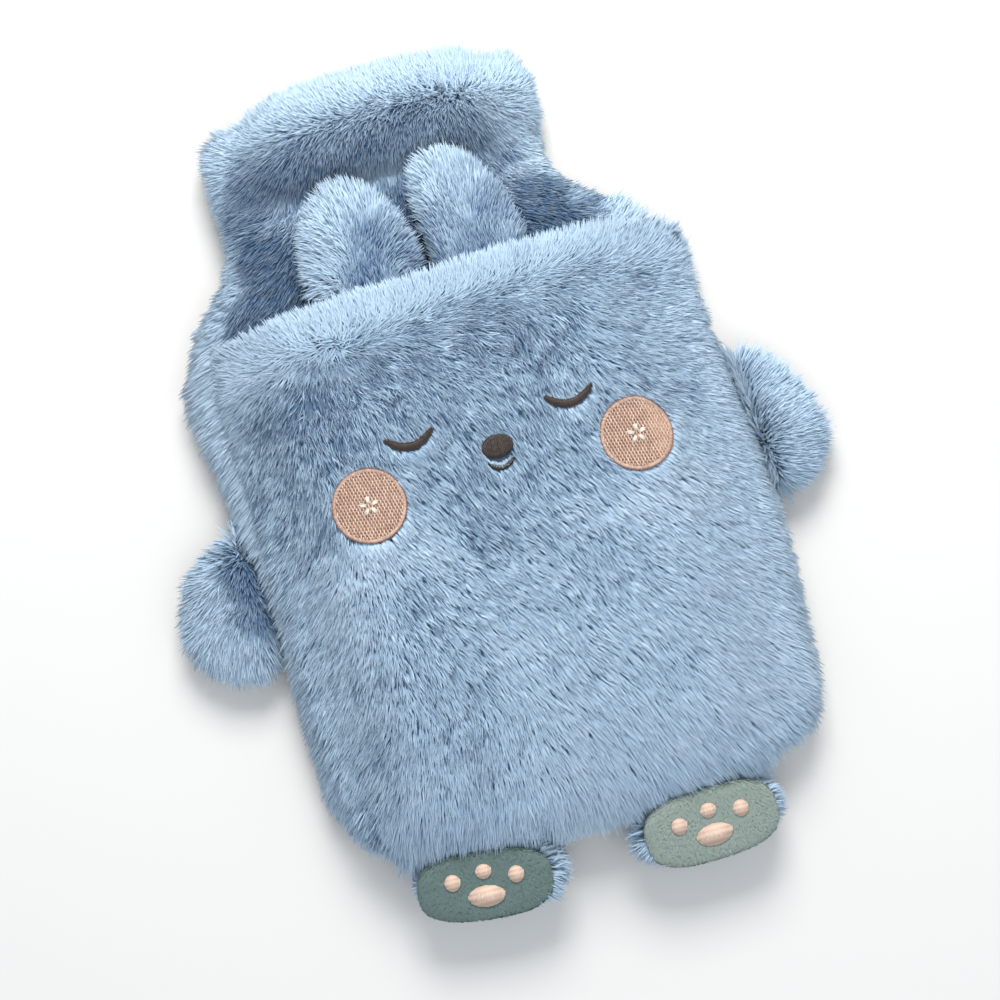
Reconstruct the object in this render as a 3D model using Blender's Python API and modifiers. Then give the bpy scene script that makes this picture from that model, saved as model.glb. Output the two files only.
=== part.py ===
"""Plush cover for a hot water bottle, lying on its back with its mouth towards +Y.

A flattened bag of long-pile cloth ends in a neck with a turned-down cuff. A pocket panel for
the hands is sewn over its front, two ears stand in the pocket's mouth, two arms are sewn to
the sides and two stuffed feet to the bottom seam. The pieces reach as far as their pile does.
The surface that it lies on is z = 0, and the origin is under the middle of the whole.
"""

import math

import bmesh
import bpy
from mathutils import Matrix

MM = 0.001  # the tables are in millimetres, the objects in metres
SEAT = 0.8  # between the bag and the panel that lies along it

# ---------------------------------------------------------------- the bag
# One row for each section across the bag, from the bottom seam to the mouth. left and right
# are its sides, lift its lowest line, side the height of its rounded sides, crown the height
# of its middle, and the bows how far its left and right sides lie ahead of its middle.
BAG_COLUMNS = ("y", "left", "right", "lift", "side", "crown", "bow_left", "bow_right")
BAG = (
    (-137.5, -72.0, 76.0, 6.0, 5.0, 5.5, 6.5, 9.0),
    (-136.0, -79.0, 83.0, 3.0, 11.0, 13.0, 7.0, 9.0),
    (-132.5, -84.0, 87.0, 0.6, 15.5, 18.5, 7.0, 9.0),
    (-126.0, -88.0, 89.5, 0.0, 17.0, 22.5, 6.0, 7.0),
    (-116.0, -91.0, 91.0, 0.0, 17.0, 24.0, 3.5, 4.0),
    (-104.0, -92.4, 93.0, 0.0, 17.0, 24.8, 1.0, 1.0),
    (-90.0, -92.8, 94.5, 0.0, 17.0, 25.0, 0.0, 0.0),
    (-70.0, -93.0, 96.5, 0.0, 17.0, 25.0, 0.0, 0.0),
    (-48.0, -93.2, 98.0, 0.0, 17.0, 25.0, 0.0, 0.0),
    (-26.0, -94.0, 97.0, 0.0, 17.0, 25.0, 0.0, 0.0),
    (-4.0, -95.5, 95.0, 0.0, 17.0, 25.0, 0.0, 0.0),
    (18.0, -98.0, 92.0, 0.0, 17.0, 25.0, 0.0, 0.0),
    (38.0, -100.5, 90.5, 0.0, 17.0, 25.0, 0.0, 0.0),
    (54.0, -101.8, 90.5, 0.0, 17.0, 24.8, 0.0, 0.0),
    (66.0, -101.0, 89.5, 0.0, 17.0, 24.6, 0.0, 0.0),
    (76.0, -97.5, 86.5, 0.0, 17.0, 25.0, 0.0, 0.0),
    (84.0, -92.0, 80.5, 0.0, 17.0, 24.5, 0.0, 0.0),
    (91.0, -86.0, 72.5, 0.0, 17.0, 24.0, 0.0, 0.0),
    (98.0, -80.0, 63.0, 0.0, 17.0, 24.0, 0.0, 0.0),
    (104.0, -77.5, 56.5, 0.0, 17.0, 24.0, 0.0, 0.0),
    (114.0, -75.5, 54.5, 0.0, 17.0, 23.5, 0.0, 0.0),
    (121.0, -74.5, 53.5, 0.0, 16.0, 22.0, 0.0, 1.5),
    (124.5, -74.3, 53.3, 0.0, 16.0, 22.0, 0.0, 2.5),
    (128.0, -75.0, 55.5, 0.0, 18.0, 27.5, 0.0, 2.0),
    (135.0, -75.5, 57.5, 0.0, 20.5, 31.5, -1.0, 0.0),
    (145.0, -74.5, 58.0, 0.0, 21.0, 33.0, -3.0, -3.0),
    (154.0, -73.0, 57.0, 0.0, 21.0, 31.5, -6.0, -7.0),
    (160.5, -69.5, 53.5, 0.5, 19.0, 28.0, -8.0, -10.0),
    (164.0, -65.0, 49.0, 2.5, 14.0, 22.0, -9.5, -12.0),
)
# The hollow in the same columns, from the mouth down to the bottom.
HOLLOW = (
    (164.0, -62.5, 46.5, 5.0, 9.5, 17.0, -9.5, -12.0),
    (160.0, -63.5, 47.5, 5.5, 8.5, 15.0, -8.0, -10.0),
    (148.0, -66.5, 48.5, 6.0, 7.5, 13.0, -3.5, -4.0),
    (124.0, -67.5, 46.5, 6.0, 6.5, 10.5, 0.0, 2.5),
    (104.0, -70.5, 49.5, 6.0, 6.0, 12.0, 0.0, 0.0),
    (91.0, -79.0, 65.5, 6.0, 6.0, 12.0, 0.0, 0.0),
    (76.0, -90.5, 79.5, 6.0, 6.0, 12.5, 0.0, 0.0),
    (54.0, -95.0, 84.0, 6.0, 6.0, 13.5, 0.0, 0.0),
    (18.0, -91.5, 85.5, 6.0, 6.0, 13.5, 0.0, 0.0),
    (-48.0, -86.7, 91.5, 6.0, 6.0, 13.5, 0.0, 0.0),
    (-104.0, -85.5, 86.0, 6.0, 6.0, 13.0, 1.0, 1.0),
    (-120.0, -80.0, 82.0, 6.0, 5.0, 10.5, 4.5, 5.5),
    (-129.0, -72.0, 74.0, 6.5, 4.0, 6.0, 6.5, 8.5),
)
ARC_STEPS = 3  # straight pieces in each quarter of the rounded sides
TOP_STEPS = 14
BOW_POWER = 3.4  # how late a bow sets in across a section
PLATEAU = 0.38  # share of the half width over which the cloth rises to its crown

# Soft troughs and ridges, each a low oval rise across the cloth. turn is the angle from +X
# of its long way.
FOLD_COLUMNS = ("x", "y", "long", "wide", "turn", "rise")
BAG_FOLDS = (
    (-66.0, 90.0, 16.0, 10.0, -40.0, -2.5),
    (56.0, 90.0, 15.0, 9.0, 35.0, -2.5),
    (-40.0, 143.0, 40.0, 9.0, 8.0, 1.5),
    (30.0, 140.0, 22.0, 10.0, -10.0, -1.5),
)
POCKET_FOLDS = (
    (0.0, 58.0, 90.0, 6.0, 0.0, -1.6),
    (4.0, -14.0, 52.0, 16.0, 6.0, -2.0),
    (8.0, -66.0, 60.0, 24.0, -4.0, 2.0),
    (-58.0, -100.0, 28.0, 8.0, 6.0, -1.8),
    (46.0, -106.0, 30.0, 9.0, 12.0, 1.4),
    (66.0, 36.0, 14.0, 26.0, 20.0, 1.6),
    (-70.0, 30.0, 13.0, 28.0, -16.0, 1.5),
)

# ---------------------------------------------------------------- the pocket panel
# One row for each section, from the bottom seam to the hem across its mouth. pouch is how far
# it stands off the bag in the middle, thick its cloth and pile there, and the two ins how far
# its edges are sewn in from the bag's outermost lines, measured along the cloth.
POCKET_COLUMNS = ("y", "bow_left", "bow_right", "pouch", "thick", "in_left", "in_right")
POCKET = (
    (-136.0, 7.0, 9.0, 0.0, 4.0, 13.0, 6.0),
    (-132.5, 7.0, 9.0, 0.3, 6.5, 12.5, 3.0),
    (-126.0, 6.0, 7.0, 1.8, 7.0, 12.5, 1.0),
    (-116.0, 3.5, 4.0, 4.5, 7.0, 12.5, 0.0),
    (-104.0, 1.0, 1.0, 6.0, 7.0, 12.5, 0.0),
    (-90.0, 0.0, 0.0, 7.5, 7.0, 12.0, 0.0),
    (-70.0, 0.0, 0.0, 8.0, 7.0, 11.5, 0.0),
    (-48.0, 0.0, 0.0, 8.0, 7.0, 11.0, 0.0),
    (-26.0, 0.0, 0.0, 8.0, 7.0, 11.0, 0.0),
    (-4.0, 0.0, 0.0, 8.0, 7.0, 12.0, 0.0),
    (18.0, 0.0, 0.0, 8.2, 7.0, 14.0, 0.0),
    (38.0, 0.0, 0.0, 9.0, 7.0, 16.0, 0.0),
    (54.0, -0.5, -1.5, 10.5, 7.0, 17.0, 0.5),
    (66.0, -2.5, -4.5, 12.5, 8.0, 17.0, 1.5),
    (74.0, -4.5, -8.0, 14.0, 8.5, 17.5, 4.0),
    (79.5, -6.5, -11.5, 14.5, 8.0, 19.0, 8.0),
    (82.0, -8.0, -14.0, 16.0, 4.0, 20.5, 11.0),
)
LEFT_STEPS = 10  # of a section of the panel, from its left edge to its middle
POUCH_SHOULDER = 0.34  # share of the half width over which the panel leaves the bag
HEM_THICK = 5.5  # of the panel along its sewn sides

# ---------------------------------------------------------------- ears, arms
# The outline of each, point by point, and their dents in the columns of the folds. An ear's
# underside and thickness are given at a few places along it.
LIMB_PEAK = 0.62  # share of the outline at which a stuffed piece is nearly full height
CAGE_SPREAD = 1.075  # of an outline, which its rounding draws in again
EAR_COLUMNS = ("y", "under", "thick")
EAR_RISE = (
    (60.0, 31.8, 4.0),
    (72.0, 31.8, 7.0),
    (84.0, 31.3, 11.0),
    (95.0, 25.5, 18.0),
    (106.0, 23.8, 20.0),
    (118.0, 23.2, 16.0),
    (128.0, 25.0, 8.0),
)
EAR_OUTLINES = {
    "ear_left": (
        (-40.0, 60.0), (-12.0, 60.0), (-2.2, 72.0), (-1.6, 88.0), (-4.5, 101.0),
        (-11.0, 115.5), (-20.0, 124.0), (-31.0, 125.0), (-41.5, 118.5), (-48.0, 105.0),
        (-50.0, 90.0), (-49.0, 72.0),
    ),
    "ear_right": (
        (8.0, 60.0), (32.0, 60.0), (40.5, 72.0), (40.0, 88.0), (36.0, 103.0),
        (29.5, 118.5), (19.5, 126.5), (9.0, 127.0), (1.0, 120.5), (-0.4, 106.0),
        (-0.2, 90.0), (1.0, 72.0),
    ),
}
ARM_UNDER = 1.0
ARM_THICK = 18.5
ARM_OUTLINES = {
    "arm_left": (
        (-98.0, 13.0), (-106.0, 6.5), (-114.5, -1.5), (-123.0, -9.5), (-129.0, -20.0),
        (-130.0, -34.0), (-124.5, -47.0), (-113.0, -54.5), (-102.0, -57.0), (-93.0, -52.0),
        (-92.8, -33.0), (-94.0, -8.0),
    ),
    "arm_right": (
        (99.5, 27.0), (108.5, 22.5), (117.5, 13.5), (125.0, 1.5), (129.5, -12.5),
        (129.0, -26.0), (120.5, -37.0), (110.0, -41.0), (103.2, -37.0), (102.8, -24.0),
        (101.1, -4.0), (98.6, 13.0),
    ),
}
DENTS = {
    "ear_left": ((-22.0, 92.0, 10.0, 9.0, 10.0, -3.5),),
    "ear_right": ((21.0, 94.0, 9.0, 10.0, -10.0, -2.0),),
    "arm_left": ((-110.0, -30.0, 24.0, 6.0, 72.0, -3.5),),
    "arm_right": ((112.0, -8.0, 24.0, 7.0, -66.0, -1.5),),
}

# ---------------------------------------------------------------- feet, soles and pads
FOOT_COLUMNS = ("side", "x", "y", "z", "turn")
FEET = (
    ("left", -41.0, -151.0, 13.5, 7.0),
    ("right", 49.0, -150.5, 13.5, -1.5),
)
FOOT_TILT = 14.0  # of the sole, down towards -Y
FOOT_HALF_WIDTH = 29.5
FOOT_HALF_LENGTH = 13.2
FOOT_HALF_THICK = 10.0
FOOT_ROUNDING = 4.5
SOLE_HALF_WIDTH = 27.0
SOLE_HALF_LENGTH = 11.8
SOLE_THICK = 2.4
SOLE_ROUNDING = 0.9
OVAL_POINTS = 24
OVAL_SQUARENESS = 2.5  # 2 is an ellipse
# The pads on each sole: place along and across it, and half sizes.
PAD_COLUMNS = ("name", "along", "across", "half_long", "half_wide")
PADS = (
    ("heel", 0.0, -3.6, 7.0, 4.2),
    ("toe_outer", -12.0, 3.2, 3.0, 3.3),
    ("toe_middle", 0.0, 6.0, 3.0, 2.9),
    ("toe_inner", 12.0, 3.2, 3.0, 3.3),
)
PAD_THICK = 0.8
PAD_POINTS = 12
TOUCH = 0.3  # between a pad and its sole, and a sole and its foot

# ---------------------------------------------------------------- embroidery on the pocket
FACE_MIDDLE = 5.0
FACE_THICK = 1.2
FACE_CLEAR = 0.8  # above the faceted panel
FACE_START = 90.0  # height from which the flat shapes are laid down onto the panel
CHEEK_RADIUS = 14.0
CHEEK_SPREAD = 52.0
CHEEK_Y = -3.0
EYE_SPREAD = 31.0
EYE_Y = 19.0
# Hanging arcs: half their span, how far they sag and how wide their stitching is.
EYE_ARC = (9.0, 4.5, 3.0)
MOUTH_ARC = (5.0, 2.6, 1.8)
MOUTH_Y = 0.5
ARC_PIECES = 10
NOSE_Y = 6.0
NOSE_HALF_WIDTH = 6.0
NOSE_HALF_HEIGHT = 4.6
DISC_POINTS = 20
DISC_RINGS = (1.0, 0.7, 0.35)


# ---------------------------------------------------------------- reading the tables
def table(columns, rows):
    """The rows as dictionaries by column name, in order of y where they have one."""
    named = [dict(zip(columns, row)) for row in rows]
    return sorted(named, key=lambda row: row["y"]) if columns[0] == "y" else named


def between(rows, y):
    """The values of a table at any y, along straight lines between its rows."""
    if y <= rows[0]["y"]:
        return rows[0]
    for low, high in zip(rows, rows[1:]):
        if y <= high["y"]:
            share = (y - low["y"]) / (high["y"] - low["y"])
            return {key: low[key] + share * (high[key] - low[key]) for key in low}
    return rows[-1]


BAG_ROWS = table(BAG_COLUMNS, BAG)
HOLLOW_ROWS = table(BAG_COLUMNS, HOLLOW)
POCKET_ROWS = table(POCKET_COLUMNS, POCKET)
EAR_ROWS = table(EAR_COLUMNS, EAR_RISE)
BAG_FOLD_ROWS = table(FOLD_COLUMNS, BAG_FOLDS)
POCKET_FOLD_ROWS = table(FOLD_COLUMNS, POCKET_FOLDS)


def smooth(t):
    """An even rise from 0 to 1."""
    t = min(max(t, 0.0), 1.0)
    return t * t * (3.0 - 2.0 * t)


def folds_at(folds, x, y):
    """What the soft folds add to the height at a place."""
    total = 0.0
    for fold in folds:
        turn = math.radians(fold["turn"])
        dx, dy = x - fold["x"], y - fold["y"]
        along = (dx * math.cos(turn) + dy * math.sin(turn)) / fold["long"]
        across = (dy * math.cos(turn) - dx * math.sin(turn)) / fold["wide"]
        total += fold["rise"] * math.exp(-(along**2) - across**2)
    return total


# ---------------------------------------------------------------- the shape of the cloth
def top_of(row):
    """The middle of a section's top between its rounded sides, and half its width."""
    left, right = row["left"] + row["side"] / 2, row["right"] - row["side"] / 2
    return (left + right) / 2, (right - left) / 2


def bowed(row, s):
    """Where a section's point at s, from -1 at its left to 1 at its right, lies along Y."""
    bow = row["bow_left"] if s < 0 else row["bow_right"]
    return row["y"] + bow * abs(s) ** BOW_POWER


def top_height(row, s, folds):
    """The height of a section's upper cloth at s. Folds die away towards the seams."""
    middle, half = top_of(row)
    swell = 0.85 * smooth((1 - abs(s)) / PLATEAU) + 0.15 * (1 - s * s)
    fold = folds_at(folds, middle + s * half, bowed(row, s)) * smooth((1 - abs(s)) / 0.3)
    return row["lift"] + row["side"] + (row["crown"] - row["side"]) * swell + fold


def bag_section(row, folds):
    """One closed section of the bag, from its left side over the top and back below."""
    middle, half = top_of(row)
    radius = row["side"] / 2
    upper, lower = [], []
    for step in range(ARC_STEPS):
        angle = math.pi / 2 * step / ARC_STEPS
        x, rise = radius * math.cos(angle), radius * math.sin(angle)
        upper.append((-1, x, row["lift"] + radius + rise))
        lower.append((-1, x, row["lift"] + radius - rise))
    for step in range(TOP_STEPS + 1):
        s = 2 * step / TOP_STEPS - 1
        upper.append((s, 0, top_height(row, s, folds)))
        lower.append((s, 0, row["lift"]))
    for line in (upper, lower):
        line.extend((1, x, z) for s, x, z in reversed(line[:ARC_STEPS]))
    points = upper + lower[-2:0:-1]
    return [(middle + s * half + math.copysign(x, s), bowed(row, s), z) for s, x, z in points]


def panel_place(panel, q, above):
    """A point over the bag for a section of the panel. q runs from -1 to 1 across the top of
    the bag, and past them round its rounded sides."""
    s = min(max(q, -1.0), 1.0)
    y = bowed(panel, s)
    row_y = y
    for _ in range(8):  # settles on the bag's section that passes under the point
        bag = between(BAG_ROWS, row_y)
        row_y = y - (bowed(bag, s) - bag["y"])
    middle, half = top_of(bag)
    radius = bag["side"] / 2
    turn = (abs(q) - 1) * half / radius
    if turn > 0:
        reach = radius + above
        x = middle + math.copysign(half + reach * math.sin(turn), q)
        return x, y, bag["lift"] + radius + reach * math.cos(turn)
    x = middle + s * half
    pouch = panel["pouch"] * smooth((1 - abs(s)) / POUCH_SHOULDER)
    fold = folds_at(POCKET_FOLD_ROWS, x, y) * smooth((1 - abs(s)) / 0.3) * smooth(panel["pouch"] / 4)
    return x, y, top_height(bag, s, BAG_FOLD_ROWS) + pouch + fold + above


def panel_section(panel):
    """One closed section of the panel: its outer face and back along its inner one."""
    bag = between(BAG_ROWS, panel["y"])
    half, radius = top_of(bag)[1], bag["side"] / 2
    first = -1 - (math.pi / 2 * radius - panel["in_left"]) / half
    last = 1 + (math.pi / 2 * radius - panel["in_right"]) / half
    inner, outer = [], []
    line = [first * (1 - step / LEFT_STEPS) for step in range(LEFT_STEPS)]
    line += [2 * step / TOP_STEPS for step in range(TOP_STEPS // 2)]
    line += [1 + (last - 1) * step / ARC_STEPS for step in range(ARC_STEPS + 1)]
    for q in line:
        edge = min(HEM_THICK, panel["thick"])
        thick = edge + (panel["thick"] - edge) * smooth((1 - abs(q)) / PLATEAU)
        inner.append(panel_place(panel, q, SEAT))
        outer.append(panel_place(panel, q, SEAT + thick))
    rims = [panel_place(panel, q, SEAT + HEM_THICK * 0.45) for q in (first - 0.02, last + 0.02)]
    return [rims[0], *outer, rims[1], *reversed(inner)]


def under_panel(x, y):
    """The height of the panel's inner face over a place near its middle."""
    panel = between(POCKET_ROWS, y)
    middle, half = top_of(between(BAG_ROWS, y))
    return panel_place(panel, (x - middle) / half, SEAT)[2]


# ---------------------------------------------------------------- making objects
def add(name, data, collection, paint, parent):
    """An object of a mesh or curve, with its material and parent."""
    data.name = name
    data.materials.append(paint)
    thing = bpy.data.objects.new(name, data)
    collection.objects.link(thing)
    thing.parent = parent
    return thing


def mesh_of(shape):
    """A smooth mesh in metres of a bmesh in millimetres, its faces pointing out."""
    bmesh.ops.recalc_face_normals(shape, faces=shape.faces)
    shape.transform(Matrix.Scale(MM, 4))
    mesh = bpy.data.meshes.new("mesh")
    shape.to_mesh(mesh)
    shape.free()
    mesh.shade_smooth()
    return mesh


def material(name, colour, roughness):
    """A Principled material without metal."""
    paint = bpy.data.materials.new(name)
    paint.use_nodes = True
    shader = paint.node_tree.nodes["Principled BSDF"]
    shader.inputs["Base Color"].default_value = (*colour, 1)
    shader.inputs["Roughness"].default_value = roughness
    return paint


def loft(sections):
    """A closed mesh through rings of points, with its first and last rings zipped up."""
    shape = bmesh.new()
    rings = [[shape.verts.new(point) for point in section] for section in sections]
    count = len(rings[0])
    for low, high in zip(rings, rings[1:]):
        for k in range(count):
            shape.faces.new((low[k], low[k - 1], high[k - 1], high[k]))
    for ring in (rings[0], rings[-1]):
        for k in range(count // 2):
            shape.faces.new(dict.fromkeys((ring[-k], ring[k], ring[k + 1], ring[-k - 1])))
    return mesh_of(shape)


def stuffed(outline, heights):
    """The cage of a stuffed piece: its outline at half height, a smaller ring and a face
    above and below. heights gives the bottom and the top at a place."""
    shape = bmesh.new()
    mid_x = sum(x for x, y in outline) / len(outline)
    mid_y = sum(y for x, y in outline) / len(outline)
    rim, tops, bottoms = [], [], []
    for point_x, point_y in outline:
        low, high = heights(point_x, point_y)
        x = mid_x + (point_x - mid_x) * CAGE_SPREAD
        y = mid_y + (point_y - mid_y) * CAGE_SPREAD
        rim.append(shape.verts.new((x, y, (low + high) / 2)))
        x = mid_x + (point_x - mid_x) * LIMB_PEAK
        y = mid_y + (point_y - mid_y) * LIMB_PEAK
        low, high = heights(x, y)
        tops.append(shape.verts.new((x, y, high)))
        bottoms.append(shape.verts.new((x, y, low)))
    for ring in (tops, bottoms):
        shape.faces.new(ring)
        for k in range(len(ring)):
            shape.faces.new((rim[k - 1], rim[k], ring[k], ring[k - 1]))
    return mesh_of(shape)


def rounded(thing, levels):
    """Catmull-Clark rounding, alike in the view and the render."""
    subdivision = thing.modifiers.new("Rounding", "SUBSURF")
    subdivision.levels = subdivision.render_levels = levels


def oval(points, half_width, half_height, squareness=2.0):
    """Points round an oval that grows squarer with squareness."""
    ring = []
    for k in range(points):
        c, s = math.cos(2 * math.pi * k / points), math.sin(2 * math.pi * k / points)
        power = 2 / squareness
        ring.append((
            math.copysign(abs(c) ** power, c) * half_width,
            math.copysign(abs(s) ** power, s) * half_height,
        ))
    return ring


def slab(ring, thick, rounding):
    """A flat curve filled between its faces, its edge rounded within the given outline."""
    curve = bpy.data.curves.new("slab", "CURVE")
    curve.dimensions, curve.fill_mode = "2D", "BOTH"
    curve.extrude, curve.bevel_depth = (thick / 2 - rounding) * MM, rounding * MM
    curve.bevel_resolution = 2
    spline = curve.splines.new("POLY")
    spline.points.add(len(ring) - 1)
    spline.use_cyclic_u = True
    for point, (x, y) in zip(spline.points, ring):
        point.co = (x * MM, y * MM, 0, 1)
    return curve


def laid_on(thing, target):
    """A flat shape laid straight down onto the target and given its thickness."""
    lay = thing.modifiers.new("Lay", "SHRINKWRAP")
    lay.target, lay.wrap_method = target, "PROJECT"
    lay.use_project_z, lay.use_negative_direction, lay.use_positive_direction = True, True, False
    lay.wrap_mode, lay.offset = "ABOVE_SURFACE", FACE_CLEAR * MM
    thread = thing.modifiers.new("Thread", "SOLIDIFY")
    thread.thickness, thread.offset = FACE_THICK * MM, 1


def disc_mesh(ring, x, y):
    """A flat disc of rings about its middle."""
    shape = bmesh.new()
    rings = []
    for share in DISC_RINGS:
        places = [(x + px * share, y + py * share, FACE_START) for px, py in ring]
        rings.append([shape.verts.new(place) for place in places])
    for outer, inner in zip(rings, rings[1:]):
        for k in range(len(ring)):
            shape.faces.new((outer[k - 1], outer[k], inner[k], inner[k - 1]))
    middle = shape.verts.new((x, y, FACE_START))
    for k in range(len(ring)):
        shape.faces.new((rings[-1][k - 1], rings[-1][k], middle))
    return mesh_of(shape)


def arc_mesh(x, y, half_span, sag, width):
    """A flat band along a hanging arc, tapered to its ends."""
    shape = bmesh.new()
    pairs = []
    for step in range(ARC_PIECES + 1):
        t = 2 * step / ARC_PIECES - 1
        half = width / 2 * (1 - 0.55 * t**4)
        slope = 2 * sag * t / half_span
        nx, ny = -slope / math.hypot(slope, 1), 1 / math.hypot(slope, 1)
        cx, cy = x + half_span * t, y - sag * (1 - t * t)
        ends = [(cx + way * nx * half, cy + way * ny * half, FACE_START) for way in (1, -1)]
        pairs.append([shape.verts.new(end) for end in ends])
    for (a, b), (c, d) in zip(pairs, pairs[1:]):
        shape.faces.new((a, b, d, c))
    return mesh_of(shape)


# ---------------------------------------------------------------- the cover
def build():
    """Clears the scene and makes every piece of the cover."""
    for thing in list(bpy.data.objects):
        bpy.data.objects.remove(thing)
    cover = bpy.data.collections.new("hot_water_bottle_cover")
    bpy.context.scene.collection.children.link(cover)
    pile = material("blue_pile", (0.38, 0.56, 0.78), 0.95)
    plush = material("sole_plush", (0.16, 0.27, 0.29), 0.95)
    brown = material("brown_thread", (0.06, 0.035, 0.018), 0.6)
    pink = material("pink_thread", (0.72, 0.44, 0.36), 0.6)
    root = bpy.data.objects.new("cover", None)
    cover.objects.link(root)

    outside = [bag_section(row, BAG_FOLD_ROWS) for row in BAG_ROWS]
    inside = [bag_section(row, ()) for row in reversed(HOLLOW_ROWS)]
    add("cover_bag", loft(outside + inside), cover, pile, root)
    panel = add("front_pocket", loft([panel_section(row) for row in POCKET_ROWS]), cover, pile, root)

    def ear_heights(x, y):
        row = between(EAR_ROWS, y)
        top = row["under"] + row["thick"] + folds_at(dents, x, y)
        if y < POCKET_ROWS[-1]["y"] + 8:
            top = min(top, under_panel(x, y))
        return min(row["under"], top - 2), top

    def arm_heights(x, y):
        return ARM_UNDER, ARM_UNDER + ARM_THICK + folds_at(dents, x, y)

    for outlines, heights in ((EAR_OUTLINES, ear_heights), (ARM_OUTLINES, arm_heights)):
        for name, outline in outlines.items():
            dents = table(FOLD_COLUMNS, DENTS[name])
            rounded(add(name, stuffed(outline, heights), cover, pile, root), 1)

    for foot in table(FOOT_COLUMNS, FEET):
        holder = bpy.data.objects.new("foot_place_" + foot["side"], None)
        cover.objects.link(holder)
        holder.parent = root
        holder.location = (foot["x"] * MM, foot["y"] * MM, foot["z"] * MM)
        holder.rotation_euler = (math.radians(FOOT_TILT), 0, math.radians(-foot["turn"]))
        make_foot(foot["side"], cover, pile, plush, pink, holder)

    cheek_ring = oval(DISC_POINTS, CHEEK_RADIUS, CHEEK_RADIUS)
    nose_ring = oval(DISC_POINTS, NOSE_HALF_WIDTH, NOSE_HALF_HEIGHT)
    stitched = [
        ("nose", disc_mesh(nose_ring, FACE_MIDDLE, NOSE_Y), brown),
        ("mouth", arc_mesh(FACE_MIDDLE, MOUTH_Y, *MOUTH_ARC), brown),
    ]
    for side, way in (("left", -1), ("right", 1)):
        cheek = disc_mesh(cheek_ring, FACE_MIDDLE + way * CHEEK_SPREAD, CHEEK_Y)
        eye = arc_mesh(FACE_MIDDLE + way * EYE_SPREAD, EYE_Y, *EYE_ARC)
        stitched += [("cheek_" + side, cheek, pink), ("eye_" + side, eye, brown)]
    for name, mesh, thread in stitched:
        laid_on(add(name, mesh, cover, thread, root), panel)


def make_foot(side, cover, pile, plush, pink, holder):
    """A stuffed foot with its flat sole and the pads on it, along the holder's axes."""
    inner_width, inner_length = FOOT_HALF_WIDTH - FOOT_ROUNDING, FOOT_HALF_LENGTH - FOOT_ROUNDING
    ring = oval(OVAL_POINTS, inner_width, inner_length, OVAL_SQUARENESS)
    add("foot_" + side, slab(ring, 2 * FOOT_HALF_THICK, FOOT_ROUNDING), cover, pile, holder)
    inner_width, inner_length = SOLE_HALF_WIDTH - SOLE_ROUNDING, SOLE_HALF_LENGTH - SOLE_ROUNDING
    ring = oval(OVAL_POINTS, inner_width, inner_length, OVAL_SQUARENESS)
    sole = add("sole_" + side, slab(ring, SOLE_THICK, SOLE_ROUNDING), cover, plush, holder)
    sole.location.z = (FOOT_HALF_THICK + TOUCH + SOLE_THICK / 2) * MM
    for pad in table(PAD_COLUMNS, PADS):
        ring = oval(PAD_POINTS, pad["half_long"], pad["half_wide"])
        patch = add("_".join(("pad", side, pad["name"])), slab(ring, PAD_THICK, 0), cover, pink, holder)
        height = FOOT_HALF_THICK + SOLE_THICK + 2 * TOUCH + PAD_THICK / 2
        patch.location = (pad["along"] * MM, pad["across"] * MM, height * MM)


build()
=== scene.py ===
# %% [markdown]
# # Dressing a plush hot water bottle cover
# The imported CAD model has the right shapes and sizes, but its surfaces are plain and hard. This
# lesson gives it cloth, pile and stitching. The real cover is sewn from long-pile cloth: a knitted
# ground with fine hair about ten millimetres long. So each part is made in two steps, a ground
# cloth a few millimetres inside the CAD solid, and a pile that grows out of it to the solid's
# surface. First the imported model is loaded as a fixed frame, so that every piece has a place.

# %% Load the frame
import math

import bmesh
import bpy
import numpy as np
from mathutils import Matrix, Vector
from mathutils.bvhtree import BVHTree
from mathutils.kdtree import KDTree


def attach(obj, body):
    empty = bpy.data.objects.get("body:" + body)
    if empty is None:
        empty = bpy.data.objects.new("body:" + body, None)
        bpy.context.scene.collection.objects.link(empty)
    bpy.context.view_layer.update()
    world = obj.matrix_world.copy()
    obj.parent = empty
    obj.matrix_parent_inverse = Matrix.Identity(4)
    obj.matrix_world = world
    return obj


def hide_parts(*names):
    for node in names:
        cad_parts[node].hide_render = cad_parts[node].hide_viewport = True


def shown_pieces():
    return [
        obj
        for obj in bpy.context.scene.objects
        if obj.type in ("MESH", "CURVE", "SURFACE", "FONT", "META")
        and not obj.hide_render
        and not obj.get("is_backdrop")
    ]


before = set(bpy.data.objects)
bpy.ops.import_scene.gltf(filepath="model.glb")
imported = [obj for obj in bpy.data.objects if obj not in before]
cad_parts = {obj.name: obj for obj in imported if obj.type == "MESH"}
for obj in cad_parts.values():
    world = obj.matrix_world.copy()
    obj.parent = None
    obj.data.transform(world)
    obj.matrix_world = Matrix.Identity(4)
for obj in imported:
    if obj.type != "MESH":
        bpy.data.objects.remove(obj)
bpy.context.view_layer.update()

MM = 0.001

# %% [markdown]
# ## The camera
# The picture looks almost straight down on the cover, from the side of its feet, and the cover
# lies turned by about 15 degrees in it. A camera can be aimed with a constraint or with angles.
# Here it stands on a line from the middle of the picture, and its rotation is made from that
# line, so three plain numbers say everything: how high, how far and how much is seen.

# %% Camera
PICTURE_UP = Vector((0.267, 0.9636, 0.0)).normalized()
LOOK_AT = Vector((1.0, -12.4, 26.0)) * MM
RAISED = math.radians(84.0)
FAR = 0.80
SEEN = 0.380  # metres across the picture at LOOK_AT

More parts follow.
